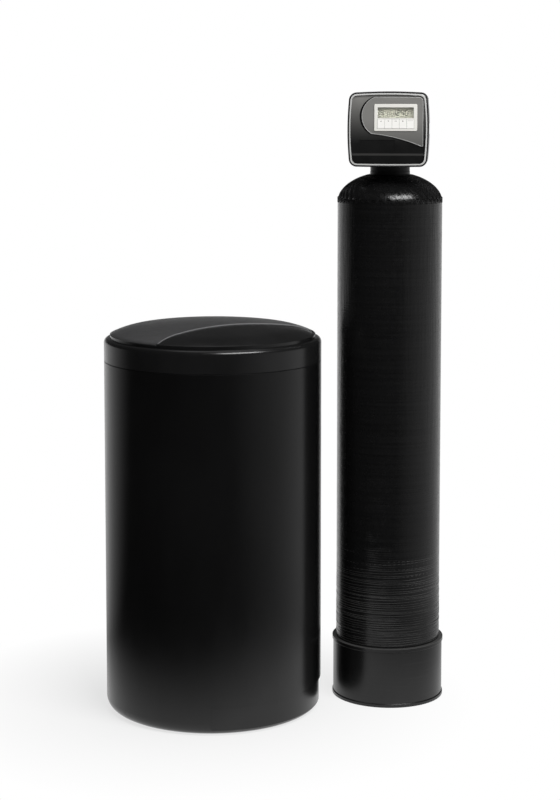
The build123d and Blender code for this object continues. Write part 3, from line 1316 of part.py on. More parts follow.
def overflow_elbow():
    flange = BRINE_R + SLIDE_GAP + GASKET_THICK
    corner = flange + OVERFLOW_FLANGE + OVERFLOW_OUT
    inner_end = BRINE_R - BRINE_WALL - OVERFLOW_NUT_LONG - OVERFLOW_TAIL
    slim_r = OVERFLOW_R - OVERFLOW_SLIM
    body = bar_x(OVERFLOW_R - PRESS_GAP, inner_end, flange, 0, OVERFLOW_Z)
    body += bar_x(OVERFLOW_FLANGE_R, flange, flange + OVERFLOW_FLANGE, 0, OVERFLOW_Z)
    body += bar_x(slim_r, flange, corner, 0, OVERFLOW_Z)
    drop = OVERFLOW_Z - OVERFLOW_R - OVERFLOW_STUB_LONG
    body += rod(slim_r, OVERFLOW_Z - OVERFLOW_R, OVERFLOW_Z + slim_r, corner - OVERFLOW_R, 0)
    body += rod(OVERFLOW_STUB_R, drop, OVERFLOW_Z, corner - OVERFLOW_R, 0)
    body -= bar_x(OVERFLOW_BORE_R, inner_end, corner - OVERFLOW_R, 0, OVERFLOW_Z)
    return wall_fitting(body - rod(OVERFLOW_BORE_R, drop, OVERFLOW_Z, corner - OVERFLOW_R, 0), OVERFLOW_DEG)


def overflow_nut():
    start = BRINE_R - BRINE_WALL - NUT_SEAT_GAP - OVERFLOW_NUT_LONG
    nut = hex_nut(OVERFLOW_NUT_R, start, OVERFLOW_NUT_LONG, OVERFLOW_Z)
    hole = bar_x(OVERFLOW_R + PRESS_GAP, start, start + OVERFLOW_NUT_LONG, 0, OVERFLOW_Z)
    return wall_fitting(nut - hole, OVERFLOW_DEG)


# Every node, written under its own name

NODES = {
    "tank_winding": tank_winding, "tank_liner": tank_liner, "tank_neck": tank_neck,
    "tank_boot": tank_boot, "resin_bed": resin_bed, "riser_tube": riser_tube,
    "bottom_strainer": bottom_strainer, "top_strainer": top_strainer,
    "valve_body": valve_body, "riser_seal": riser_seal, "spacer_stack": spacer_stack,
    "lip_seals": lip_seals, "piston": piston, "drive_cap": drive_cap,
    "main_gear": main_gear, "reduction_gear": reduction_gear, "gear_axle": gear_axle,
    "motor_pinion": motor_pinion, "motor": motor, "drive_bracket": drive_bracket,
    "bracket_screws": bracket_screws, "back_plate": back_plate, "power_gland": power_gland,
    "circuit_board": circuit_board, "lcd": lcd, "front_cover": front_cover, "bezel": bezel,
    "display_window": display_window, "port_seals": port_seals, "port_tails": port_tails,
    "port_nuts": port_nuts, "meter_spider": meter_spider, "meter_rotor": meter_rotor,
    "drain_elbow": drain_elbow, "drain_clip": drain_clip, "injector": injector,
    "injector_cap": injector_cap, "brine_nut": brine_nut, "brine_tank": brine_tank,
    "lid": lid, "brine_well": brine_well, "well_cap": well_cap, "salt_grid": salt_grid,
    "safety_valve": safety_valve, "float_body": float_body, "float_rod": float_rod,
    "pickup_tube": pickup_tube, "air_check": air_check, "check_ball": check_ball,
    "line_fitting": line_fitting, "line_nut": line_nut, "overflow_gasket": overflow_gasket,
    "overflow_elbow": overflow_elbow, "overflow_nut": overflow_nut,
}

for node_name, make in NODES.items():
    save(node_name, make())

for key in range(BUTTON_COUNT):
    save(f"button_{key + 1}", button(key))
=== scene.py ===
import json
import math

import bmesh
import bpy
from bpy.props import (FloatProperty, FloatVectorProperty, IntProperty, PointerProperty,
                       StringProperty)
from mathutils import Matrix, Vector


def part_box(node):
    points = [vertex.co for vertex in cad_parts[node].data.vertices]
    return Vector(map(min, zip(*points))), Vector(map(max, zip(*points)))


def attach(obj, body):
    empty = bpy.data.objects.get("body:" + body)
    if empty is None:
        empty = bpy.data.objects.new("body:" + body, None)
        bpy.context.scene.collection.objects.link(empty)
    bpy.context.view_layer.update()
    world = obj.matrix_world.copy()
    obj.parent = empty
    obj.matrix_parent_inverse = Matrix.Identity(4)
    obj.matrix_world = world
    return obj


bl_info = {
    "name": "Water softener dressing",
    "version": (1, 0, 0),
    "blender": (4, 5, 0),
    "location": "View3D > Sidebar > Softener",
    "description": "Finishes and fine pieces for a water softener with its own brine tank",
    "category": "Object",
}

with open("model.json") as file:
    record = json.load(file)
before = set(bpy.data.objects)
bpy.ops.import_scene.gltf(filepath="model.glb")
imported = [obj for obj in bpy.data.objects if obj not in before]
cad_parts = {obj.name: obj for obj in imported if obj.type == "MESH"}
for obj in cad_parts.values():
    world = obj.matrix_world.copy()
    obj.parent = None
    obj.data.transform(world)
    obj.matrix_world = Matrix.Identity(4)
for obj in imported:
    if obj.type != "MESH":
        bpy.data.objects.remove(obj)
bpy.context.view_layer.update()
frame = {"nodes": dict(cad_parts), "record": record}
NODES = frame["nodes"]
SLOT_OF = {part["node"]: part["material_slot"] for part in frame["record"]["subparts"]
           if part["node"] in NODES}


def middle(node):
    """Middle of a CAD node's box."""
    low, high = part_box(node)
    return (Vector(low) + Vector(high)) / 2


def top_of(node):
    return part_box(node)[1][2]


def front_of(node):
    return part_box(node)[0][1]


def wide_of(node):
    low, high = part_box(node)
    return high[0] - low[0]


# Places on the CAD model

TANK_R = wide_of("tank_winding") / 2
TANK_STRAIGHT_TOP = 1.098
TANK_DOME_RISE = 0.066
LID_CENTRE = middle("lid")
LID_CROWN = (0.815, 0.822)
RIDGE_TURN = math.radians(130)
RIDGE_ARC_R = 0.7
RIDGE_AWAY = 0.766
COVER_MIDDLE = middle("front_cover")
COVER_RIM_Y = front_of("front_cover")

# Depths behind the head cover's rim and heights from its middle, where its painted highlights lie
# and its painted shade falls
RIM_HIGHLIGHT = (-0.001, 0.00045)
FIELD_DEPTHS = (0.0012, 0.0044)
PANEL_DEPTHS = (0.0012, 0.0028)
FACE_PAINTED_SHADE = (-0.036, 0.066)
PANEL_PAINTED_SHADE = (-0.04, 0.02)
CREASE_HIGHLIGHT = (-0.0553, -0.0512)

# Reach of the lid's painted ridge highlight either side of its arc
RIDGE_HIGHLIGHT = (-0.0012, 0.0012)


# Sizes and colours that a user would change

class SoftenerSizes(bpy.types.PropertyGroup):
    strand_wide: FloatProperty(
        name="Strand width", description="Width of one filament band on the dome",
        default=0.0012, min=0.0005, max=0.01, unit="LENGTH")
    strand_proud: FloatProperty(
        name="Strand height", description="How far a filament band stands off the shell",
        default=0.00013, min=0.0001, max=0.002, unit="LENGTH")
    strand_count: IntProperty(
        name="Strand count", description="Filament bands round the dome",
        default=44, min=4, max=60)
    hoop_pitch: FloatProperty(
        name="Hoop pitch", description="Height of one turn of the hoop winding",
        default=0.005, min=0.002, max=0.02, unit="LENGTH")
    hoop_top: FloatProperty(
        name="Hoop top", description="Height up to which the hoop winding stands out",
        default=0.34, min=0.2, max=1.0, unit="LENGTH")
    digit_high: FloatProperty(
        name="Digit height", description="Height of a figure on the display",
        default=0.0128, min=0.004, max=0.02, unit="LENGTH")
    digit_pitch: FloatProperty(
        name="Digit pitch", description="Distance between figures on the display",
        default=0.0088, min=0.003, max=0.02, unit="LENGTH")
    reading: StringProperty(
        name="Reading", description="Figures shown on the display", default="1240")


class SoftenerColours(bpy.types.PropertyGroup):
    shell: FloatVectorProperty(
        name="Wound shell", description="Resin-wet winding of the tall tank",
        subtype="COLOR", size=3, default=(0.0048, 0.0048, 0.0049), min=0, max=1)
    tank: FloatVectorProperty(
        name="Brine tank", description="Moulded wall of the wide tank",
        subtype="COLOR", size=3, default=(0.0045, 0.0045, 0.0046), min=0, max=1)
    head: FloatVectorProperty(
        name="Control head", description="Cover of the control head",
        subtype="COLOR", size=3, default=(0.009, 0.009, 0.009), min=0, max=1)
    # Paler tone of the head's face, partly its own and partly painted light; painted shade fades
    # it out downwards
    head_face: FloatVectorProperty(
        name="Head face", description="Upper face of the control head",
        subtype="COLOR", size=3, default=(0.2, 0.197, 0.188), min=0, max=1)
    # Colour of the painted highlight line round the head's rim and display field
    head_trim: FloatVectorProperty(
        name="Head trim", description="Bright line round the control head's rim and display field",
        subtype="COLOR", size=3, default=(0.55, 0.55, 0.54), min=0, max=1)
    bezel: FloatVectorProperty(
        name="Bezel", description="Frame round the display and keys",
        subtype="COLOR", size=3, default=(0.72, 0.71, 0.67), min=0, max=1)
    keys: FloatVectorProperty(
        name="Keys", description="Key caps below the display",
        subtype="COLOR", size=3, default=(0.85, 0.84, 0.81), min=0, max=1)
    display: FloatVectorProperty(
        name="Display", description="Reflective liquid crystal",
        subtype="COLOR", size=3, default=(0.47, 0.46, 0.38), min=0, max=1)


def sizes():
    return bpy.context.scene.softener_sizes


def colours():
    return bpy.context.scene.softener_colours


# Material building blocks

def link(tree, out, into):
    tree.links.new(out, into)


def add(tree, kind, **values):
    """Shader or geometry node with its settings."""
    node = tree.nodes.new(kind)
    for name, value in values.items():
        setattr(node, name, value)
    return node


def maths(tree, operation, *terms):
    """Maths node over sockets or plain numbers."""
    node = add(tree, "ShaderNodeMath", operation=operation)
    for index, term in enumerate(terms):
        if isinstance(term, (int, float)):
            node.inputs[index].default_value = term
        else:
            link(tree, term, node.inputs[index])
    return node.outputs[0]


def place(tree, stretch=(1, 1, 1), centre=(0, 0, 0)):
    """Object coordinates, centred and stretched."""
    coordinates = add(tree, "ShaderNodeTexCoord")
    mapping = add(tree, "ShaderNodeMapping")
    mapping.inputs["Location"].default_value = [-c * s for c, s in zip(centre, stretch)]
    mapping.inputs["Scale"].default_value = stretch
    link(tree, coordinates.outputs["Object"], mapping.inputs["Vector"])
    return mapping.outputs[0]


def noise(tree, where, scale, detail=2.0, rough=0.5):
    node = add(tree, "ShaderNodeTexNoise")
    node.inputs["Scale"].default_value = scale
    node.inputs["Detail"].default_value = detail
    node.inputs["Roughness"].default_value = rough
    link(tree, where, node.inputs["Vector"])
    return node.outputs["Fac"]


def product(tree, first, *others):
    """All the terms multiplied in turn."""
    for other in others:
        first = maths(tree, "MULTIPLY", first, other)
    return first


def total(tree, first, *others):
    """All the terms added in turn."""
    for other in others:
        first = maths(tree, "ADD", first, other)
    return first


def between(tree, value, low, high, into_low, into_high):
    """Value spread from one range to another, held at its ends."""
    node = add(tree, "ShaderNodeMapRange")
    link(tree, value, node.inputs["Value"])
    limits = (("From Min", low), ("From Max", high), ("To Min", into_low), ("To Max", into_high))
    for name, number in limits:
        node.inputs[name].default_value = number
    return node.outputs["Result"]


NOISE_LOW, NOISE_HIGH = 0.3, 0.7


def uneven(tree, pattern, low, high):
    """Noise spread between two values over the middle of its range."""
    return between(tree, pattern, NOISE_LOW, NOISE_HIGH, low, high)


def shifted(pair, by):
    return [value + by for value in pair]


# Colour sockets of a mix node
MIX_BELOW, MIX_ABOVE, MIX_RESULT = 6, 7, 2


def shade(tree, value, dark, light):
    """Colour between two shades."""
    node = add(tree, "ShaderNodeMix", data_type="RGBA")
    link(tree, value, node.inputs["Factor"])
    node.inputs[MIX_BELOW].default_value = (*dark, 1)
    node.inputs[MIX_ABOVE].default_value = (*light, 1)
    return node.outputs[MIX_RESULT]


def bump(tree, height, strength, deep, over=None):
    node = add(tree, "ShaderNodeBump")
    node.inputs["Strength"].default_value = strength
    node.inputs["Distance"].default_value = deep
    link(tree, height, node.inputs["Height"])
    if over is not None:
        link(tree, over, node.inputs["Normal"])
    return node.outputs["Normal"]


FINISH = "finish_"


def new_finish(name):
    """Nodes and shader of an empty material."""
    material = bpy.data.materials.new(FINISH + name)
    material.use_nodes = True
    tree = material.node_tree
    return tree, tree.nodes["Principled BSDF"]


def apart(tree, vector):
    """The three parts of a vector."""
    split = add(tree, "ShaderNodeSeparateXYZ")
    link(tree, vector, split.inputs[0])
    return split.outputs["X"], split.outputs["Y"], split.outputs["Z"]


def axes(tree, output="Object"):
    """The three parts of the object coordinates or normal."""
    return apart(tree, add(tree, "ShaderNodeTexCoord").outputs[output])


def band(tree, value, low, high, soft):
    """1 between two values and 0 outside them, with soft ends."""
    rise = between(tree, value, low - soft, low + soft, 0.0, 1.0)
    fall = between(tree, value, high - soft, high + soft, 1.0, 0.0)
    return product(tree, rise, fall)


def tinted(tree, below, share, colour):
    """Colour laid over another by a share."""
    node = add(tree, "ShaderNodeMix", data_type="RGBA")
    link(tree, share, node.inputs["Factor"])
    link(tree, below, node.inputs[MIX_BELOW])
    node.inputs[MIX_ABOVE].default_value = (*colour, 1)
    return node.outputs[MIX_RESULT]


def deeper(colour, by):
    return [min(1.0, max(0.0, c * by)) for c in colour]


# Finishes

MIDDLE_GRAIN = 0.0009


def moulded(name, colour, gloss, grain=0.2, grain_size=MIDDLE_GRAIN, mottle=0.25):
    """Moulded plastic: a slow drift of shade, uneven gloss and a fine grain."""
    tree, shader = new_finish(name)
    where = place(tree)
    drift = uneven(tree, noise(tree, where, 9.0, 3.0), 0, 1)
    link(tree, shade(tree, drift, deeper(colour, 1 - mottle), deeper(colour, 1 + mottle)),
         shader.inputs["Base Color"])
    patch = noise(tree, where, 55.0, 4.0, 0.6)
    link(tree, uneven(tree, patch, gloss * 0.9, gloss * 1.12), shader.inputs["Roughness"])
    fine = noise(tree, where, 1 / grain_size, 2.0)
    link(tree, bump(tree, fine, grain, 0.0002), shader.inputs["Normal"])


def satin_tank(name, colour, rough=0.24):
    """Blown tank wall: satin skin with faint waves down its height and a fine orange peel."""
    tree, shader = new_finish(name)
    drift = uneven(tree, noise(tree, place(tree, (3, 3, 1)), 3.0, 3.0), 0, 1)
    link(tree, shade(tree, drift, deeper(colour, 0.8), deeper(colour, 1.25)),
         shader.inputs["Base Color"])
    patch = noise(tree, place(tree, (1, 1, 0.35)), 30.0, 5.0, 0.65)
    link(tree, between(tree, patch, 0.25, 0.75, rough * 0.88, rough * 1.14),
         shader.inputs["Roughness"])
    peel = noise(tree, place(tree), 900.0, 2.0)
    waves = noise(tree, place(tree, (1, 1, 0.2)), 14.0, 2.0)
    surface = bump(tree, waves, 0.12, 0.0012)
    link(tree, bump(tree, peel, 0.1, 0.00012, surface), shader.inputs["Normal"])
    return tree, shader


# Band about the boot's top where a highlight is painted, and the pale colour laid on it and on the
# scuffs
BOOT_LIP_HIGHLIGHT = (-0.0007, 0.0006)
SCUFF_AND_HIGHLIGHT_COLOUR = (0.075, 0.075, 0.074)


def boot_skin(name, colour, lip):
    """Boot: satin moulding with a painted highlight along its top lip and a few paler level
    scuffs.
    """
    tree, shader = satin_tank(name, colour, 0.3)
    below = shader.inputs["Base Color"].links[0].from_socket
    # Painted highlight: a thin pale line along the top lip; the scuffs are wear
    lip_highlight = band(tree, axes(tree)[2], *shifted(BOOT_LIP_HIGHLIGHT, lip), 0.0003)
    scuffs = between(tree, noise(tree, place(tree, (1, 1, 30)), 9.0, 3.0), 0.56, 0.66, 0.0, 0.05)
    scuffs_and_highlight = maths(tree, "MAXIMUM", lip_highlight, scuffs)
    link(tree, tinted(tree, below, scuffs_and_highlight, SCUFF_AND_HIGHLIGHT_COLOUR), shader.inputs["Base Color"])


def cover_skin(name, colour, face, trim):
    """Head cover: painted highlight along the rim edge, a face partly paler of its own that
    darkens downwards as painted shade, painted highlight along one soft crease, dark groove.
    """
    tree, shader = new_finish(name)
    _, depth, high = axes(tree)
    mid_z = COVER_MIDDLE.z
    ahead = between(tree, axes(tree, "Normal")[1], -0.97, -0.93, 1.0, 0.0)
    drift = uneven(tree, noise(tree, place(tree), 14.0, 3.0), 0, 1)
    skin = shade(tree, drift, deeper(colour, 0.75), deeper(colour, 1.25))
    field = product(tree, ahead, band(tree, depth, *shifted(FIELD_DEPTHS, COVER_RIM_Y), 0.0002))
    # Painted shade: the face's paler tone fades out downwards by height
    fall = maths(tree, "POWER", between(tree, high, *shifted(FACE_PAINTED_SHADE, mid_z), 0.0, 1.0), 1.7)
    cloud = uneven(tree, noise(tree, place(tree, (1, 1, 0.4)), 26.0, 2.0), 0.88, 1.1)
    raised = product(tree, ahead, band(tree, depth, *shifted(PANEL_DEPTHS, COVER_RIM_Y), 0.0002))
    # Painted light: the raised display field is paler towards its top
    panel = product(tree, raised, between(tree, high, *shifted(PANEL_PAINTED_SHADE, mid_z), 0.45, 0.95))
    lit = maths(tree, "MAXIMUM", product(tree, fall, cloud, field), panel)
    skin = tinted(tree, skin, lit, face)
    # Painted highlight: a faint pale band along the soft crease
    crease_highlight = product(tree, field, band(tree, high, *shifted(CREASE_HIGHLIGHT, mid_z), 0.0012), 0.16)
    skin = tinted(tree, skin, crease_highlight, face)
    # Painted highlight: a bright line along the rim's rounded edge
    edge = product(tree, band(tree, depth, *shifted(RIM_HIGHLIGHT, COVER_RIM_Y), 0.0001), 0.9)
    link(tree, tinted(tree, skin, edge, trim), shader.inputs["Base Color"])
    patch = noise(tree, place(tree), 55.0, 4.0)
    link(tree, uneven(tree, patch, 0.2, 0.27), shader.inputs["Roughness"])
    grain = noise(tree, place(tree), 1600.0, 2.0)
    link(tree, bump(tree, grain, 0.08, 0.0001), shader.inputs["Normal"])


def lid_skin(name, colour):
    """Moulded lid: smooth rim and field, a painted highlight along the ridge's step, and behind it
    a fine pebbled grain whose pebbles are painted paler as sheen.
    """
    tree, shader = new_finish(name)
    across, back, high = axes(tree)
    start_x = LID_CENTRE.x - RIDGE_AWAY * math.cos(RIDGE_TURN)
    start_y = LID_CENTRE.y - RIDGE_AWAY * math.sin(RIDGE_TURN)
    square_x = maths(tree, "POWER", maths(tree, "SUBTRACT", across, start_x), 2.0)
    square_y = maths(tree, "POWER", maths(tree, "SUBTRACT", back, start_y), 2.0)
    reach = maths(tree, "SQRT", total(tree, square_x, square_y))
    behind = between(tree, reach, RIDGE_ARC_R, RIDGE_ARC_R + 0.002, 0.0, 1.0)
    crown = between(tree, high, *LID_CROWN, 0.0, 1.0)
    steep = between(tree, axes(tree, "Normal")[2], 0.6, 0.8, 1.0, 0.0)
    ridge = band(tree, reach, *shifted(RIDGE_HIGHLIGHT, RIDGE_ARC_R), 0.0003)
    step = product(tree, steep, crown, ridge)
    grained = product(tree, behind, crown)
    pebble = noise(tree, place(tree), 330.0, 3.0, 0.55)
    drift = uneven(tree, noise(tree, place(tree, (1.5, 1.5, 1)), 7.0, 3.0), 0, 1)
    skin = shade(tree, drift, deeper(colour, 0.8), deeper(colour, 1.3))
    # Partly the grain's own texture, partly painted sheen: the pebbles behind the ridge are
    # painted much paler
    skin = tinted(tree, skin, product(tree, pebble, 0.9, grained), deeper(colour, 16.0))
    # Painted highlight: the ridge's step is painted far paler than the lid
    link(tree, tinted(tree, skin, step, deeper(colour, 30.0)), shader.inputs["Base Color"])
    patch = uneven(tree, noise(tree, place(tree), 38.0, 4.0, 0.6), -0.025, 0.035)
    rough = between(tree, grained, 0.0, 1.0, 0.23, 0.36)
    link(tree, total(tree, rough, patch), shader.inputs["Roughness"])
    relief = product(tree, pebble, between(tree, grained, 0.0, 1.0, 0.06, 1.0))
    waves = bump(tree, noise(tree, place(tree), 12.0, 2.0), 0.1, 0.0014)
    link(tree, bump(tree, relief, 0.4, 0.0007, waves), shader.inputs["Normal"])


# Heights on the tall tank over which the hoops fade, the runs of resin grow and the dome begins
HOOP_ZONE = (0.30, 0.62)
RUN_ZONE = (0.45, 0.95)
DOME_BLEND = (-0.01, 0.03)


def wound_resin(name, colour, straight_top, pitch):
    """Filament winding under wet resin: hoop turns low down, ragged ends and drips between."""
    tree, shader = new_finish(name)
    high = axes(tree)[2]
    streak = noise(tree, place(tree, (5, 5, 260)), 1.0, 3.0)
    thread = noise(tree, place(tree, (14, 14, 900)), 1.0, 2.0)
    wander = product(tree, noise(tree, place(tree), 14.0), pitch * 1.6)
    turns = product(tree, total(tree, high, wander), 2 * math.pi / pitch)
    low_down = between(tree, high, *HOOP_ZONE, 1.0, 0.35)
    ragged = between(tree, noise(tree, place(tree, (1, 1, 1.6)), 22.0, 4.0), 0.42, 0.6, 0.25, 1.0)
    hoops = product(tree, maths(tree, "SINE", turns), 0.5, low_down, ragged)
    over_dome = between(tree, high, *shifted(DOME_BLEND, straight_top), 1.0, 0.0)
    fibres = total(tree, product(tree, streak, 0.6), product(tree, thread, 0.5))
    relief = product(tree, total(tree, hoops, fibres), over_dome)
    lumps = noise(tree, place(tree), 95.0, 4.0, 0.6)
    runs = noise(tree, place(tree, (34, 34, 2.2)), 4.0, 3.0, 0.6)
    drips = product(tree, runs, between(tree, high, *RUN_ZONE, 0.15, 1.0))
    skin = bump(tree, drips, 0.5, 0.0014, bump(tree, lumps, 0.35, 0.0006))
    link(tree, bump(tree, relief, 0.5, 0.00045, skin), shader.inputs["Normal"])
    link(tree, shade(tree, streak, deeper(colour, 0.6), deeper(colour, 1.9)),
         shader.inputs["Base Color"])
    link(tree, uneven(tree, lumps, 0.15, 0.3), shader.inputs["Roughness"])


def strand_resin(name, colour):
    """One filament band: fine fibres along it under resin."""
    tree, shader = new_finish(name)
    where = place(tree)
    fibres = noise(tree, where, 800.0, 3.0)
    link(tree, shade(tree, fibres, deeper(colour, 0.7), deeper(colour, 2.2)),
         shader.inputs["Base Color"])
    patch = noise(tree, where, 120.0, 3.0)
    link(tree, uneven(tree, patch, 0.14, 0.32), shader.inputs["Roughness"])
    link(tree, bump(tree, fibres, 0.4, 0.0002), shader.inputs["Normal"])


def machined(name, colour, rough=0.28):
    """Turned or drawn metal with fine tool marks."""
    tree, shader = new_finish(name)
    where = place(tree)
    drift = noise(tree, where, 60.0, 3.0)
    link(tree, shade(tree, drift, deeper(colour, 0.82), deeper(colour, 1.1)),
         shader.inputs["Base Color"])
    link(tree, uneven(tree, drift, rough * 0.8, rough * 1.25), shader.inputs["Roughness"])
    lines = noise(tree, place(tree, (1, 9, 1)), 900.0, 1.0)
    link(tree, bump(tree, lines, 0.2, 0.0001), shader.inputs["Normal"])
    shader.inputs["Metallic"].default_value = 1.0


def packed_beads(name, colour):
    """Resin beads packed tight."""
    tree, shader = new_finish(name)
    cells = add(tree, "ShaderNodeTexVoronoi")
    cells.inputs["Scale"].default_value = 900.0
    link(tree, place(tree), cells.inputs["Vector"])
    away = cells.outputs["Distance"]
    # Painted shade: each bead is paler at its middle and darker towards the gaps between beads
    link(tree, shade(tree, away, deeper(colour, 1.3), deeper(colour, 0.35)),
         shader.inputs["Base Color"])
    link(tree, bump(tree, away, -0.8, 0.0006), shader.inputs["Normal"])
    link(tree, between(tree, away, 0, 1, 0.25, 0.5), shader.inputs["Roughness"])


def laminate(name, colour):
    """Printed board: solder mask over faint tracks."""
    tree, shader = new_finish(name)
    bricks = add(tree, "ShaderNodeTexBrick")
    bricks.inputs["Scale"].default_value = 90.0
    bricks.inputs["Color1"].default_value = (*colour, 1)
    bricks.inputs["Color2"].default_value = (*deeper(colour, 0.75), 1)
    bricks.inputs["Mortar"].default_value = (*deeper(colour, 1.7), 1)
    bricks.inputs["Mortar Size"].default_value = 0.03
    turn = add(tree, "ShaderNodeMapping")
    turn.inputs["Rotation"].default_value = (math.pi / 2, 0, 0)
    link(tree, place(tree), turn.inputs["Vector"])
    link(tree, turn.outputs[0], bricks.inputs["Vector"])
    link(tree, bricks.outputs["Color"], shader.inputs["Base Color"])
    link(tree, bump(tree, bricks.outputs["Fac"], 0.3, 0.0002), shader.inputs["Normal"])
    link(tree, uneven(tree, noise(tree, place(tree), 70.0), 0.3, 0.42), shader.inputs["Roughness"])


COLUMN_PITCH = 0.0011


def crystal(name, colour, centre, across):
    """Reflective display: faint column marks and a shade darker towards its rim."""
    tree, shader = new_finish(name)
    where = place(tree, (1, 1, 1), centre)
    column = apart(tree, where)[0]
    side = maths(tree, "ABSOLUTE", column)
    rim = between(tree, side, across * 0.36, across * 0.5, 0.0, 0.55)
    cloud = noise(tree, where, 160.0, 3.0)
    link(tree, shade(tree, total(tree, rim, product(tree, cloud, 0.2)), deeper(colour, 1.12),
                     deeper(colour, 0.72)), shader.inputs["Base Color"])
    columns = maths(tree, "SINE", product(tree, column, 2 * math.pi / COLUMN_PITCH))
    link(tree, bump(tree, columns, 0.1, 0.0001), shader.inputs["Normal"])
    link(tree, uneven(tree, cloud, 0.22, 0.32), shader.inputs["Roughness"])


def clear_window(name):
    """Thin clear moulding with a faintly uneven face."""
    tree, shader = new_finish(name)
    shader.inputs["Base Color"].default_value = (0.97, 0.98, 0.97, 1)
    shader.inputs["Transmission Weight"].default_value = 1.0
    shader.inputs["IOR"].default_value = 1.08
    patch = noise(tree, place(tree), 120.0, 3.0)
    link(tree, uneven(tree, patch, 0.02, 0.06), shader.inputs["Roughness"])


def make_finishes():
    """One material for each of the record's material slots, and those of the fine pieces."""
    tint = colours()
    looks = {
        "wound_shell": (wound_resin, tint.shell, TANK_STRAIGHT_TOP, sizes().hoop_pitch),
        "strand": (strand_resin, tint.shell),
        # Painted highlight: the hoop winding is the shell's resin painted far paler, standing in
        # for its glints
        "hoop_resin": (moulded, (0.06, 0.06, 0.059), 0.3, 0.3, 0.001, 0.95),
        "liner_plastic": (moulded, (0.55, 0.55, 0.52), 0.45),
        "moulded_black": (moulded, (0.012, 0.012, 0.0125), 0.42, 0.3),
        "boot_plastic": (boot_skin, (0.0055, 0.0055, 0.0056), top_of("tank_boot")),
        "resin_beads": (packed_beads, (0.55, 0.32, 0.08)),
        "pipe_plastic": (moulded, (0.82, 0.82, 0.79), 0.35, 0.1, MIDDLE_GRAIN, 0.04),
        "strainer_plastic": (moulded, (0.72, 0.72, 0.68), 0.45, 0.2, MIDDLE_GRAIN, 0.06),
        "valve_plastic": (moulded, (0.016, 0.016, 0.017), 0.46, 0.45, 0.0007),
        "seal_rubber": (moulded, (0.014, 0.014, 0.014), 0.62, 0.35, 0.0006, 0.35),
        "spacer_plastic": (moulded, (0.66, 0.66, 0.67), 0.42, 0.2, MIDDLE_GRAIN, 0.06),
        "piston_plastic": (moulded, (0.08, 0.08, 0.09), 0.25, 0.1),
        "gear_plastic": (moulded, (0.78, 0.78, 0.75), 0.4, 0.2, MIDDLE_GRAIN, 0.05),
        "steel": (machined, (0.6, 0.6, 0.62)),
        "motor_case": (machined, (0.32, 0.32, 0.34), 0.4),
        "board": (laminate, (0.02, 0.16, 0.07)),
        "display": (crystal, tint.display, middle("lcd"), wide_of("lcd")),
        "head_cover": (cover_skin, tint.head, tint.head_face, tint.head_trim),
        # Darker copy of the highlight colour, for the bead's painted highlight
        "head_trim": (moulded, deeper(tint.head_trim, 0.75), 0.26, 0.1, 0.0005, 0.12),
        "bezel_silver": (moulded, tint.bezel, 0.34, 0.15, 0.0004, 0.03),
        "window_clear": (clear_window,),
        "key_pale": (moulded, tint.keys, 0.42, 0.12, 0.0004, 0.03),
        "key_mark": (moulded, (0.3, 0.29, 0.27), 0.5, 0.1, 0.0004, 0.1),
        "figure": (moulded, (0.05, 0.05, 0.042), 0.4, 0.05, 0.0004, 0.15),
        "brass": (machined, (0.72, 0.52, 0.22), 0.26),
        "injector_red": (moulded, (0.45, 0.04, 0.03), 0.35),
        "brine_plastic": (satin_tank, tint.tank),
        # Painted light: the lid takes the tank wall's colour made paler, standing in for the light
        # on it
        "lid_plastic": (lid_skin, deeper(tint.tank, 1.7)),
        "float_foam": (moulded, (0.82, 0.82, 0.8), 0.7, 0.6, 0.0015, 0.05),
    }
    for name, (make, *given) in looks.items():
        make(name, *given)


def finish(name):
    """The material of that name, made once."""
    if FINISH + name not in bpy.data.materials:
        make_finishes()
    return bpy.data.materials[FINISH + name]


# Mesh building blocks

def settle(piece, material, body):
    """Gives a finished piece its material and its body."""
    piece.data.materials.clear()
    piece.data.materials.append(finish(material))
    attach(piece, body)


WELD_DISTANCE = 1e-7
SHARP_DEG, BEAD_SHARP_DEG, STRAND_SHARP_DEG = 32.0, 60.0, 40.0


def object_from(name, bm, sharp_deg=SHARP_DEG):
    """Object from a bmesh, smooth but for its sharp edges."""
    bmesh.ops.remove_doubles(bm, verts=bm.verts, dist=WELD_DISTANCE)
    bmesh.ops.recalc_face_normals(bm, faces=bm.faces)
    mesh = bpy.data.meshes.new(name)
    bm.to_mesh(mesh)
    bm.free()
    if not mesh.polygons:
        raise RuntimeError(f"{name} came out empty")
    mesh.shade_smooth()
    mesh.set_sharp_from_angle(angle=math.radians(sharp_deg))
    piece = bpy.data.objects.new(name, mesh)
    bpy.context.scene.collection.objects.link(piece)
    return piece


def plate(bm, corners, back, front):
    """Thin upright plate from corners given as x and z, between two depths."""
    rear = [bm.verts.new((x, back, z)) for x, z in corners]
    fore = [bm.verts.new((x, front, z)) for x, z in corners]
    bm.faces.new(rear)
    bm.faces.new(fore[::-1])
    for index in range(len(corners)):
        after = (index + 1) % len(corners)
        bm.faces.new((rear[index], fore[index], fore[after], rear[after]))


def bar(centre_x, centre_z, long, thick, upright, lean=0.0):
    """Corners of one pointed bar of a figure."""
    half, point = long / 2, thick / 2
    line = [(-half, 0), (-half + point, point), (half - point, point),
            (half, 0), (half - point, -point), (-half + point, -point)]
    corners = []
    for along, across in line:
        x, z = (across, along) if upright else (along, across)
        corners.append((centre_x + x + lean * (centre_z + z), centre_z + z))
    return corners


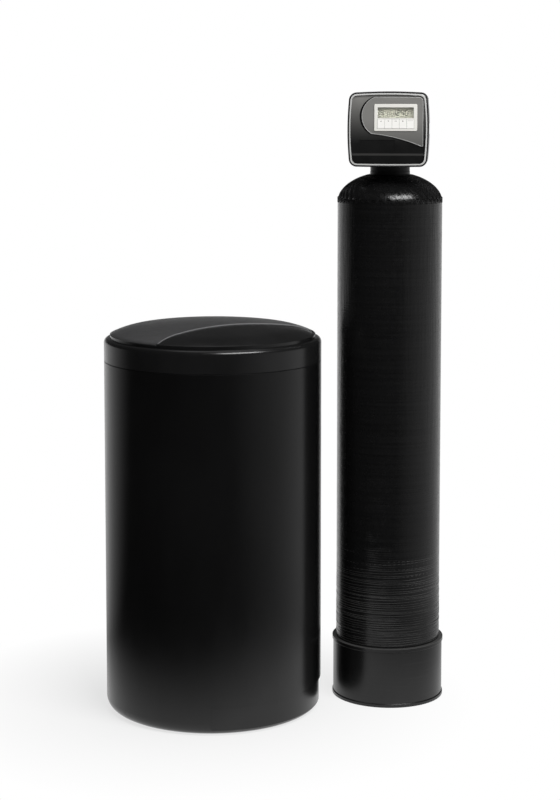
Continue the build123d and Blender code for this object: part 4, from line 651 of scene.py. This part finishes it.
def arc_through(start, through, end, count):
    """Points of the round that runs through three points of a plane."""
    (ax, ay), (bx, by), (cx, cy) = start, through, end
    twice = 2 * (ax * (by - cy) + bx * (cy - ay) + cx * (ay - by))
    a2, b2, c2 = ax * ax + ay * ay, bx * bx + by * by, cx * cx + cy * cy
    mid_x = (a2 * (by - cy) + b2 * (cy - ay) + c2 * (ay - by)) / twice
    mid_y = (a2 * (cx - bx) + b2 * (ax - cx) + c2 * (bx - ax)) / twice
    radius = math.hypot(ax - mid_x, ay - mid_y)
    first, last = math.atan2(ay - mid_y, ax - mid_x), math.atan2(cy - mid_y, cx - mid_x)
    via = math.atan2(by - mid_y, bx - mid_x)
    sweep = (last - first) % (2 * math.pi)
    if (via - first) % (2 * math.pi) > sweep:
        sweep -= 2 * math.pi
    turns = [first + sweep * index / count for index in range(count + 1)]
    return [(mid_x + radius * math.cos(turn), mid_y + radius * math.sin(turn)) for turn in turns]


BEAD_STEPS = 6


def bead(name, path, normal, wide, high):
    """Low round-backed bead along a closed path on a flat face, sunk a little into it."""
    bm = bmesh.new()
    rings = []
    normal = Vector(normal)
    for index, spot in enumerate(path):
        ahead = path[(index + 1) % len(path)]
        aside = (Vector(ahead) - Vector(path[index - 1])).cross(normal).normalized()
        ring = []
        for step in range(BEAD_STEPS + 1):
            turn = math.pi * step / BEAD_STEPS
            offset = aside * (math.cos(turn) * wide / 2) + normal * (math.sin(turn) * high)
            ring.append(bm.verts.new(Vector(spot) + offset))
        for side in (-1, 1):
            ring.append(bm.verts.new(Vector(spot) + aside * (side * wide / 2) - normal * high))
        rings.append(ring)
    for low, up in zip(rings, rings[1:] + rings[:1]):
        for index in range(len(low)):
            after = (index + 1) % len(low)
            bm.faces.new((low[index], low[after], up[after], up[index]))
    return object_from(name, bm, BEAD_SHARP_DEG)


# Resin tank

def dome_place(radius):
    """Height and outward normal, as radius and height, of the resin tank's dome at a radius."""
    up = math.sqrt(max(0.0, 1 - (radius / TANK_R) ** 2))
    normal = Vector((radius / TANK_R ** 2, up / TANK_DOME_RISE)).normalized()
    return TANK_STRAIGHT_TOP + TANK_DOME_RISE * up, normal


BAND_STEPS = 34
BAND_REACH = 0.985
RUN_STEPS = 14
RUN_SINK = 1.4


def band_path(turn_r, run_down, proud):
    """One filament band's line: up the wall, round the neck on the shortest way and down again."""
    half = []
    angle = 0.0
    reach = math.sqrt((BAND_REACH * TANK_R) ** 2 - turn_r ** 2)
    for index in range(BAND_STEPS + 1):
        x = reach * index / BAND_STEPS
        radius = math.sqrt(turn_r ** 2 + x ** 2)
        if index:
            middle_x = reach * (index - 0.5) / BAND_STEPS
            mid_r = math.sqrt(turn_r ** 2 + middle_x ** 2)
            slope = TANK_DOME_RISE * mid_r / (TANK_R ** 2 * math.sqrt(1 - (mid_r / TANK_R) ** 2))
            angle += turn_r * math.hypot(1, slope) / mid_r ** 2 * reach / BAND_STEPS
        z, normal = dome_place(radius)
        half.append((angle, radius + normal.x * proud, z + normal.y * proud))
    lean = turn_r / TANK_R / math.sqrt(1 - (turn_r / TANK_R) ** 2)
    last_z = half[-1][2]
    for index in range(1, RUN_STEPS + 1):
        down = run_down * index / RUN_STEPS
        angle += lean * run_down / RUN_STEPS / TANK_R
        sink = RUN_SINK * proud * index / RUN_STEPS
        half.append((angle, TANK_R + proud - sink, last_z - down))
    line = [(-a, r, z) for a, r, z in reversed(half[1:])] + half
    return [(r * math.cos(a), r * math.sin(a), z) for a, r, z in line]


# Hoop winding: section, depth under the wall at its top, rise out of it and unevenness.
# Each wave has its rate per turn, its start and its size.
HOOP_STEPS = 120
HOOP_WIDE = 0.0011
HOOP_THICK = 0.0006
HOOP_SUNK = 0.0007
HOOP_RISE = 0.00062
HOOP_UNEVEN = 0.00011
HOOP_FADE = 1.6
HOOP_WANDER = 0.24
HOOP_START = 0.002
HOOP_WAVES = ((1.31, 0.0, 1.0), (2.17, 1.0, 0.7), (0.43, 0.0, 0.5))
HOOP_LIFTS = ((0.77, 0.5, 1.0), (1.93, 0.0, 0.8))


def waves(turn, terms):
    """Several sine waves added up at a turn."""
    return sum(size * math.sin(rate * turn + start) for rate, start, size in terms)


def hoop_path(low, high, pitch):
    """Hoop winding up the wall: a helix that wanders a little and sinks away towards its top."""
    points = []
    steps = int((high - low) / pitch * HOOP_STEPS)
    for index in range(steps + 1):
        turn = 2 * math.pi * index / HOOP_STEPS
        z = low + (high - low) * index / steps
        fade = min(1.0, max(0.0, (high - z) / (high - low) * HOOP_FADE))
        radius = TANK_R - HOOP_SUNK + HOOP_RISE * fade + HOOP_UNEVEN * waves(turn, HOOP_LIFTS)
        z += pitch * HOOP_WANDER * waves(turn, HOOP_WAVES)
        points.append((radius * math.cos(turn), radius * math.sin(turn), z))
    return points


def line_mesh(name, points):
    """Open line of edges through the points."""
    mesh = bpy.data.meshes.new(name)
    mesh.from_pydata(points, [(index, index + 1) for index in range(len(points) - 1)], [])
    return mesh


def strand_piece(piece, look):
    """Smooth sides and resin finish for a grown piece of winding."""
    piece.data.shade_smooth()
    piece.data.set_sharp_from_angle(angle=math.radians(STRAND_SHARP_DEG))
    settle(piece, look, "softener")


def band_tree():
    """Geometry Nodes: one line copied round the axis and given a flat section."""
    tree = bpy.data.node_groups.new("filament_bands", "GeometryNodeTree")
    face = tree.interface
    face.new_socket("Geometry", in_out="INPUT", socket_type="NodeSocketGeometry")
    for name, kind in (("Count", "NodeSocketInt"), ("Width", "NodeSocketFloat"),
                       ("Thickness", "NodeSocketFloat"), ("Turn", "NodeSocketFloat"),
                       ("Material", "NodeSocketMaterial")):
        face.new_socket(name, in_out="INPUT", socket_type=kind)
    face.new_socket("Geometry", in_out="OUTPUT", socket_type="NodeSocketGeometry")
    given = add(tree, "NodeGroupInput")
    result = add(tree, "NodeGroupOutput")
    curve = add(tree, "GeometryNodeMeshToCurve")
    link(tree, given.outputs["Geometry"], curve.inputs["Mesh"])
    spots = add(tree, "GeometryNodeMeshLine")
    spots.inputs["Offset"].default_value = (0, 0, 0)
    link(tree, given.outputs["Count"], spots.inputs["Count"])
    index = add(tree, "GeometryNodeInputIndex")
    share = maths(tree, "DIVIDE", index.outputs[0], given.outputs["Count"])
    angle = maths(tree, "MULTIPLY_ADD", share, 2 * math.pi, given.outputs["Turn"])
    turn = add(tree, "ShaderNodeCombineXYZ")
    link(tree, angle, turn.inputs["Z"])
    copies = add(tree, "GeometryNodeInstanceOnPoints")
    link(tree, spots.outputs["Mesh"], copies.inputs["Points"])
    link(tree, curve.outputs["Curve"], copies.inputs["Instance"])
    link(tree, turn.outputs[0], copies.inputs["Rotation"])
    real = add(tree, "GeometryNodeRealizeInstances")
    link(tree, copies.outputs["Instances"], real.inputs["Geometry"])
    section = add(tree, "GeometryNodeCurvePrimitiveQuadrilateral")
    link(tree, given.outputs["Width"], section.inputs["Width"])
    link(tree, given.outputs["Thickness"], section.inputs["Height"])
    sweep = add(tree, "GeometryNodeCurveToMesh")
    sweep.inputs["Fill Caps"].default_value = True
    upright = add(tree, "GeometryNodeSetCurveNormal", mode="Z_UP")
    link(tree, real.outputs["Geometry"], upright.inputs["Curve"])
    link(tree, upright.outputs["Curve"], sweep.inputs["Curve"])
    link(tree, section.outputs["Curve"], sweep.inputs["Profile Curve"])
    whole = add(tree, "GeometryNodeRealizeInstances")
    link(tree, sweep.outputs["Mesh"], whole.inputs["Geometry"])
    coat = add(tree, "GeometryNodeSetMaterial")
    link(tree, whole.outputs["Geometry"], coat.inputs["Geometry"])
    link(tree, given.outputs["Material"], coat.inputs["Material"])
    link(tree, coat.outputs["Geometry"], result.inputs["Geometry"])
    return tree


def grow(tree, seed_mesh, name, **given):
    """Runs a Geometry Nodes tree on a mesh and keeps its result as a plain object."""
    source = bpy.data.objects.new(name + "_seed", seed_mesh)
    bpy.context.scene.collection.objects.link(source)
    modifier = source.modifiers.new("grow", "NODES")
    modifier.node_group = tree
    for item in tree.interface.items_tree:
        if item.item_type == "SOCKET" and item.in_out == "INPUT" and item.name in given:
            modifier[item.identifier] = given[item.name]
    bpy.context.view_layer.update()
    ready = source.evaluated_get(bpy.context.evaluated_depsgraph_get())
    mesh = bpy.data.meshes.new_from_object(ready)
    source.modifiers.remove(modifier)
    bpy.data.objects.remove(source)
    if not mesh.polygons:
        raise RuntimeError(f"{name} came out empty")
    mesh.name = name
    piece = bpy.data.objects.new(name, mesh)
    bpy.context.scene.collection.objects.link(piece)
    return piece


# Layers of bands: radius of their turn at the neck, run down the wall, turn of the layer
BAND_LAYERS = ((0.0475, 0.008, 0.0), (0.058, 0.012, 0.11), (0.071, 0.01, 0.05))
BAND_LIFT = 0.4


class SOFTENER_OT_bands(bpy.types.Operator):
    """Filament bands that cross on the resin tank's dome, and the hoop winding low on its wall"""
    bl_idname = "softener.bands"
    bl_label = "Filament bands"

    def execute(self, context):
        tree = band_tree()
        given = sizes()
        for order, (turn_r, run_down, turn) in enumerate(BAND_LAYERS, start=1):
            points = band_path(turn_r, run_down, given.strand_proud * BAND_LIFT)
            piece = grow(tree, line_mesh(f"band_line_{order}", points), f"filament_bands_{order}",
                         Count=given.strand_count, Width=given.strand_wide,
                         Thickness=given.strand_proud, Turn=turn, Material=finish("strand"))
            strand_piece(piece, "strand")
        points = hoop_path(top_of("tank_boot") + HOOP_START, given.hoop_top, given.hoop_pitch)
        hoops = grow(tree, line_mesh("hoop_line", points), "hoop_winding",
                     Count=1, Width=HOOP_WIDE, Thickness=HOOP_THICK, Turn=0.0,
                     Material=finish("hoop_resin"))
        strand_piece(hoops, "hoop_resin")
        return {"FINISHED"}


# Display and keys

SEGMENTS_OF = {
    "0": "abcdef", "1": "bc", "2": "abged", "3": "abgcd", "4": "fgbc",
    "5": "afgcd", "6": "afgedc", "7": "abc", "8": "abcdefg", "9": "abfgcd",
}


FIGURE_DEEP = 0.0001
FIGURE_GAP = 0.00015
FIGURE_WIDE_SHARE = 0.66
SEGMENT_THICK_SHARE = 0.11
SEGMENT_GAP_SHARE = 0.35
FIGURE_LEAN = 0.07
READING_DROP = 0.0004

# Places on the window, as shares of its width from its middle
READING_AT, LEFT_SIGN_AT, RIGHT_SIGN_AT = 0.345, -0.38, 0.415

# Signs beside the reading: length, thickness and spacing of the strokes
LEFT_STROKE = (0.0062, 0.0008, 0.0042)
RIGHT_STROKE = (0.0032, 0.0007, 0.0021)
SIDE_STROKE = (0.009, 0.0008, 0.0044)


def figure_plates(bm, text, right_x, mid_z, front, high, pitch):
    """Seven-segment figures set to the right, each segment a thin plate."""
    wide, thick = pitch * FIGURE_WIDE_SHARE, high * SEGMENT_THICK_SHARE
    step = high / 2 - thick / 2
    spots = {"a": (0, step, False), "g": (0, 0, False), "d": (0, -step, False),
             "f": (-wide / 2, step / 2, True), "b": (wide / 2, step / 2, True),
             "e": (-wide / 2, -step / 2, True), "c": (wide / 2, -step / 2, True)}
    for place_from_right, sign in enumerate(reversed(text)):
        centre = right_x - pitch * (place_from_right + 0.5)
        for segment in SEGMENTS_OF.get(sign, ""):
            x, z, upright = spots[segment]
            long = (step if upright else wide) - thick * SEGMENT_GAP_SHARE
            corners = bar(x, z, long, thick, upright, lean=FIGURE_LEAN)
            placed = [(centre + cx, mid_z + cz) for cx, cz in corners]
            plate(bm, placed, front + FIGURE_DEEP, front)


class SOFTENER_OT_display(bpy.types.Operator):
    """Figures and two small signs on the display"""
    bl_idname = "softener.display"
    bl_label = "Display figures"

    def execute(self, context):
        centre, across = middle("display_window"), wide_of("display_window")
        front = front_of("lcd") - FIGURE_GAP
        bm = bmesh.new()
        figure_plates(bm, sizes().reading, centre.x + across * READING_AT, centre.z - READING_DROP,
                      front, sizes().digit_high, sizes().digit_pitch)
        left, right = centre.x + across * LEFT_SIGN_AT, centre.x + across * RIGHT_SIGN_AT
        strokes = []
        for row in (-1, 0, 1):
            for x, (long, thick, spacing) in ((left, LEFT_STROKE), (right, RIGHT_STROKE)):
                strokes.append(bar(x, centre.z + row * spacing, long, thick, False))
        long, thick, spacing = SIDE_STROKE
        for side in (-1, 1):
            strokes.append(bar(left + side * spacing, centre.z, long, thick, True))
        for corners in strokes:
            plate(bm, corners, front + FIGURE_DEEP, front)
        settle(object_from("display_figures", bm), "figure", "softener")
        return {"FINISHED"}


SIGN_DEEP = 0.00012
SIGN_CLEAR = 0.00004
SIGN_DROP = 0.0048
MILLIMETRE = 0.001

# Sign on each key in turn, as outlines in millimetres
KEY_SIGNS = (
    [[(-1.7, -1.19), (1.7, -1.19), (0, 1.53)]],
    [[(-1.7, 1.19), (0, -1.53), (1.7, 1.19)]],
    [[(-1.7, -1.36), (-0.68, -1.36), (-0.68, 1.36), (-1.7, 1.36)],
     [(0.68, -1.36), (1.7, -1.36), (1.7, 1.36), (0.68, 1.36)]],
    [[(-1.7, -1.7), (1.7, 0), (-1.7, 1.7)]],
    [[(-5.2, 0.6), (-5.2, 1.2), (5.2, 1.2), (5.2, 0.6)]],
)


class SOFTENER_OT_keys(bpy.types.Operator):
    """Small printed signs on the five keys"""
    bl_idname = "softener.keys"
    bl_label = "Key signs"

    def execute(self, context):
        for order, outlines in enumerate(KEY_SIGNS, start=1):
            node = f"button_{order}"
            x, z, front = middle(node).x, top_of(node) - SIGN_DROP, front_of(node) - SIGN_CLEAR
            bm = bmesh.new()
            for outline in outlines:
                corners = [(x + MILLIMETRE * cx, z + MILLIMETRE * cz) for cx, cz in outline]
                plate(bm, corners, front + SIGN_DEEP, front)
            settle(object_from(f"key_sign_{order}", bm), "key_mark", node)
        return {"FINISHED"}


# Painted highlight line

# Display field, across and up from the middle of the cover
FIELD_RIGHT, FIELD_TOP, FIELD_ROUND_R = 0.0735, 0.0675, 0.0085
FIELD_BOW = ((-0.029, FIELD_TOP), (-0.0555, 0.027), (-0.035, -0.009))
FIELD_SWEEP = ((-0.035, -0.009), (0.018, -0.018), (FIELD_RIGHT, -0.037))
FIELD_END_Z = -0.036
FIELD_EDGE_SINK = 0.002
ARC_STEPS, CORNER_STEPS = 24, 8
BEAD_WIDE, BEAD_HIGH = 0.0011, 0.0003


def field_path():
    """Edge of the raised display field on the head, as points across and up from its middle."""
    bow = arc_through(*FIELD_BOW, ARC_STEPS)
    sweep = arc_through(*FIELD_SWEEP, ARC_STEPS)
    corner = []
    for step in range(CORNER_STEPS + 1):
        turn = math.pi / 2 * step / CORNER_STEPS
        corner.append((FIELD_RIGHT - FIELD_ROUND_R * (1 - math.cos(turn)),
                       FIELD_TOP - FIELD_ROUND_R * (1 - math.sin(turn))))
    return bow[:-1] + sweep[:-1] + [(FIELD_RIGHT, FIELD_END_Z)] + corner


class SOFTENER_OT_highlight(bpy.types.Operator):
    """Low bead round the head's display field, coloured pale as a painted highlight on the field's
    raised edge
    """
    bl_idname = "softener.trim"
    bl_label = "Highlight lines"

    def execute(self, context):
        path = [(x, COVER_RIM_Y + FIELD_EDGE_SINK, COVER_MIDDLE.z + z) for x, z in field_path()]
        edge = bead("field_edge", path, (0, -1, 0), BEAD_WIDE, BEAD_HIGH)
        settle(edge, "head_trim", "cover")
        return {"FINISHED"}


# Carried-over CAD nodes

class SOFTENER_OT_finishes(bpy.types.Operator):
    """Finish of every piece that comes from the CAD frame"""
    bl_idname = "softener.finishes"
    bl_label = "CAD finishes"

    def execute(self, context):
        for node, piece in NODES.items():
            piece.data.materials.clear()
            piece.data.materials.append(finish(SLOT_OF[node]))
        return {"FINISHED"}


# Stage

CAMERA_AT = (0.1588, -4.1577, 1.3437)
CAMERA_DOWN_DEG, CAMERA_TURN_DEG = 5.743, 5.5
CAMERA_LENS, CAMERA_SENSOR, CAMERA_SHIFT_Y = 85.5, 36, -0.15

# Name, place, point it faces, width, height and power of each lamp
LAMPS = (("key_panel", (1.25, -1.95, 3.1), (-0.1, 0, 0.85), 2.2, 1.0, 98),
         ("over_panel", (-0.2, 0.3, 3.6), (-0.15, 0, 0.8), 2.6, 2.0, 10))

# Reflected light of each side: the bearings from the front at which it starts and is full,
# and how strong it is at both. The low light's limits are heights.
RIGHT_LIGHT = (math.radians(25), math.radians(150), 0.0, 0.8)
LEFT_LIGHT = (math.radians(-88), math.radians(-150), 0.0, 1.0)
LOW_LIGHT = (0.0, 0.12, 1.0, 0.05)
WORLD_DIFFUSE = 0.3

# Floor: where its shadow and its near reflection lie and how far they reach
FLOOR_HALF = 9
FLOOR_COLOUR = (0.9, 0.9, 0.9, 1)
SHADOW_AT, SHADOW_FADE = (-0.42, -0.1, 0), (0.22, 0.62, 0.7, 1.0)
NEAR_AT, NEAR_FADE = (-0.2, 0, 0), (0.42, 0.95, 0.9, 0.0)


class SOFTENER_OT_stage(bpy.types.Operator):
    """Pale floor, white surroundings, soft lamps and the camera"""
    bl_idname = "softener.stage"
    bl_label = "Stage"

    def execute(self, context):
        floor()
        surroundings()
        for given in LAMPS:
            lamp(*given)
        camera_data = bpy.data.cameras.new("camera")
        camera_data.lens = CAMERA_LENS
        camera_data.sensor_width = CAMERA_SENSOR
        camera_data.shift_y = CAMERA_SHIFT_Y
        camera = bpy.data.objects.new("camera", camera_data)
        camera.location = CAMERA_AT
        tilt, turn = math.radians(90 - CAMERA_DOWN_DEG), math.radians(CAMERA_TURN_DEG)
        camera.rotation_euler = (tilt, 0, turn)
        context.scene.collection.objects.link(camera)
        context.scene.camera = camera
        context.scene.view_settings.view_transform = "Standard"
        return {"FINISHED"}


def ring_light(tree, across, back):
    """Brightness of the surroundings by bearing: dark in front, brightening to the rear."""
    bearing = maths(tree, "ARCTAN2", across, product(tree, back, -1.0))
    right, left = between(tree, bearing, *RIGHT_LIGHT), between(tree, bearing, *LEFT_LIGHT)
    return maths(tree, "MAXIMUM", right, left)


def length(tree, vector):
    node = add(tree, "ShaderNodeVectorMath", operation="LENGTH")
    link(tree, vector, node.inputs[0])
    return node.outputs["Value"]


def floor():
    """Pale floor that fades into the white surroundings."""
    bm = bmesh.new()
    for side_x, side_y in ((-1, -1), (1, -1), (1, 1), (-1, 1)):
        bm.verts.new((FLOOR_HALF * side_x, FLOOR_HALF * side_y, 0))
    bm.faces.new(bm.verts)
    mesh = bpy.data.meshes.new("floor")
    bm.to_mesh(mesh)
    bm.free()
    piece = bpy.data.objects.new("floor", mesh)
    bpy.context.scene.collection.objects.link(piece)
    tree, shader = new_finish("floor")
    shader.inputs["Base Color"].default_value = FLOOR_COLOUR
    shader.inputs["Roughness"].default_value = 0.6
    shader.inputs["Specular IOR Level"].default_value = 0.2
    where = place(tree, centre=NEAR_AT)
    across, back, _ = apart(tree, where)
    rays = add(tree, "ShaderNodeLightPath")
    fade = between(tree, length(tree, place(tree, centre=SHADOW_AT)), *SHADOW_FADE)
    seen = product(tree, fade, rays.outputs["Is Camera Ray"])
    near = between(tree, length(tree, where), *NEAR_FADE)
    mirrored = add(tree, "ShaderNodeEmission")
    around = ring_light(tree, across, back)
    link(tree, maths(tree, "MAXIMUM", near, around), mirrored.inputs["Strength"])
    white = add(tree, "ShaderNodeEmission")
    mix = add(tree, "ShaderNodeMixShader")
    link(tree, seen, mix.inputs[0])
    link(tree, shader.outputs[0], mix.inputs[1])
    link(tree, white.outputs[0], mix.inputs[2])
    outer = add(tree, "ShaderNodeMixShader")
    link(tree, rays.outputs["Is Glossy Ray"], outer.inputs[0])
    link(tree, mix.outputs[0], outer.inputs[1])
    link(tree, mirrored.outputs[0], outer.inputs[2])
    link(tree, outer.outputs[0], tree.nodes["Material Output"].inputs["Surface"])
    mesh.materials.append(finish("floor"))


def surroundings():
    """White where it is seen, a low ring of light where it is reflected, soft grey as light."""
    world = bpy.data.worlds.new("surroundings")
    world.use_nodes = True
    bpy.context.scene.world = world
    tree = world.node_tree
    ground = tree.nodes["Background"]
    ground.inputs["Color"].default_value = (1, 1, 1, 1)
    rays = add(tree, "ShaderNodeLightPath")
    across, back, high = axes(tree, "Generated")
    ring = ring_light(tree, across, back)
    low = between(tree, high, *LOW_LIGHT)
    glossy = product(tree, ring, low, rays.outputs["Is Glossy Ray"])
    spread = product(tree, rays.outputs["Is Diffuse Ray"], WORLD_DIFFUSE)
    seen = total(tree, rays.outputs["Is Camera Ray"], rays.outputs["Is Transmission Ray"])
    strength = total(tree, seen, glossy, spread)
    link(tree, maths(tree, "MINIMUM", strength, 1.0), ground.inputs["Strength"])


def lamp(name, at, towards, wide, high, power):
    """Soft panel lamp that faces a point."""
    data = bpy.data.lights.new(name, "AREA")
    data.shape = "RECTANGLE"
    data.size = wide
    data.size_y = high
    data.energy = power
    piece = bpy.data.objects.new(name, data)
    piece.location = at
    piece.rotation_euler = (Vector(towards) - Vector(at)).to_track_quat("-Z", "Y").to_euler()
    bpy.context.scene.collection.objects.link(piece)


class SOFTENER_PT_pieces(bpy.types.Panel):
    """Lists the softener's sizes, colours and pieces"""
    bl_idname = "SOFTENER_PT_pieces"
    bl_label = "Water softener"
    bl_space_type = "VIEW_3D"
    bl_region_type = "UI"
    bl_category = "Softener"

    def draw(self, context):
        for group in (context.scene.softener_sizes, context.scene.softener_colours):
            box = self.layout.box()
            for name in group.bl_rna.properties.keys():
                if name not in {"rna_type", "name"}:
                    box.prop(group, name)
        for operator in OPERATORS:
            self.layout.operator(operator.bl_idname)


OPERATORS = (SOFTENER_OT_stage, SOFTENER_OT_finishes, SOFTENER_OT_bands,
             SOFTENER_OT_display, SOFTENER_OT_keys, SOFTENER_OT_highlight)
CLASSES = (SoftenerSizes, SoftenerColours, *OPERATORS, SOFTENER_PT_pieces)


def register():
    for one in CLASSES:
        bpy.utils.register_class(one)
    bpy.types.Scene.softener_sizes = PointerProperty(type=SoftenerSizes)
    bpy.types.Scene.softener_colours = PointerProperty(type=SoftenerColours)


def unregister():
    del bpy.types.Scene.softener_colours
    del bpy.types.Scene.softener_sizes
    for one in reversed(CLASSES):
        bpy.utils.unregister_class(one)


def main():
    register()
    bpy.ops.softener.stage()
    bpy.ops.softener.finishes()
    bpy.ops.softener.bands()
    bpy.ops.softener.display()
    bpy.ops.softener.keys()
    bpy.ops.softener.trim()


if __name__ == "__main__":
    main()
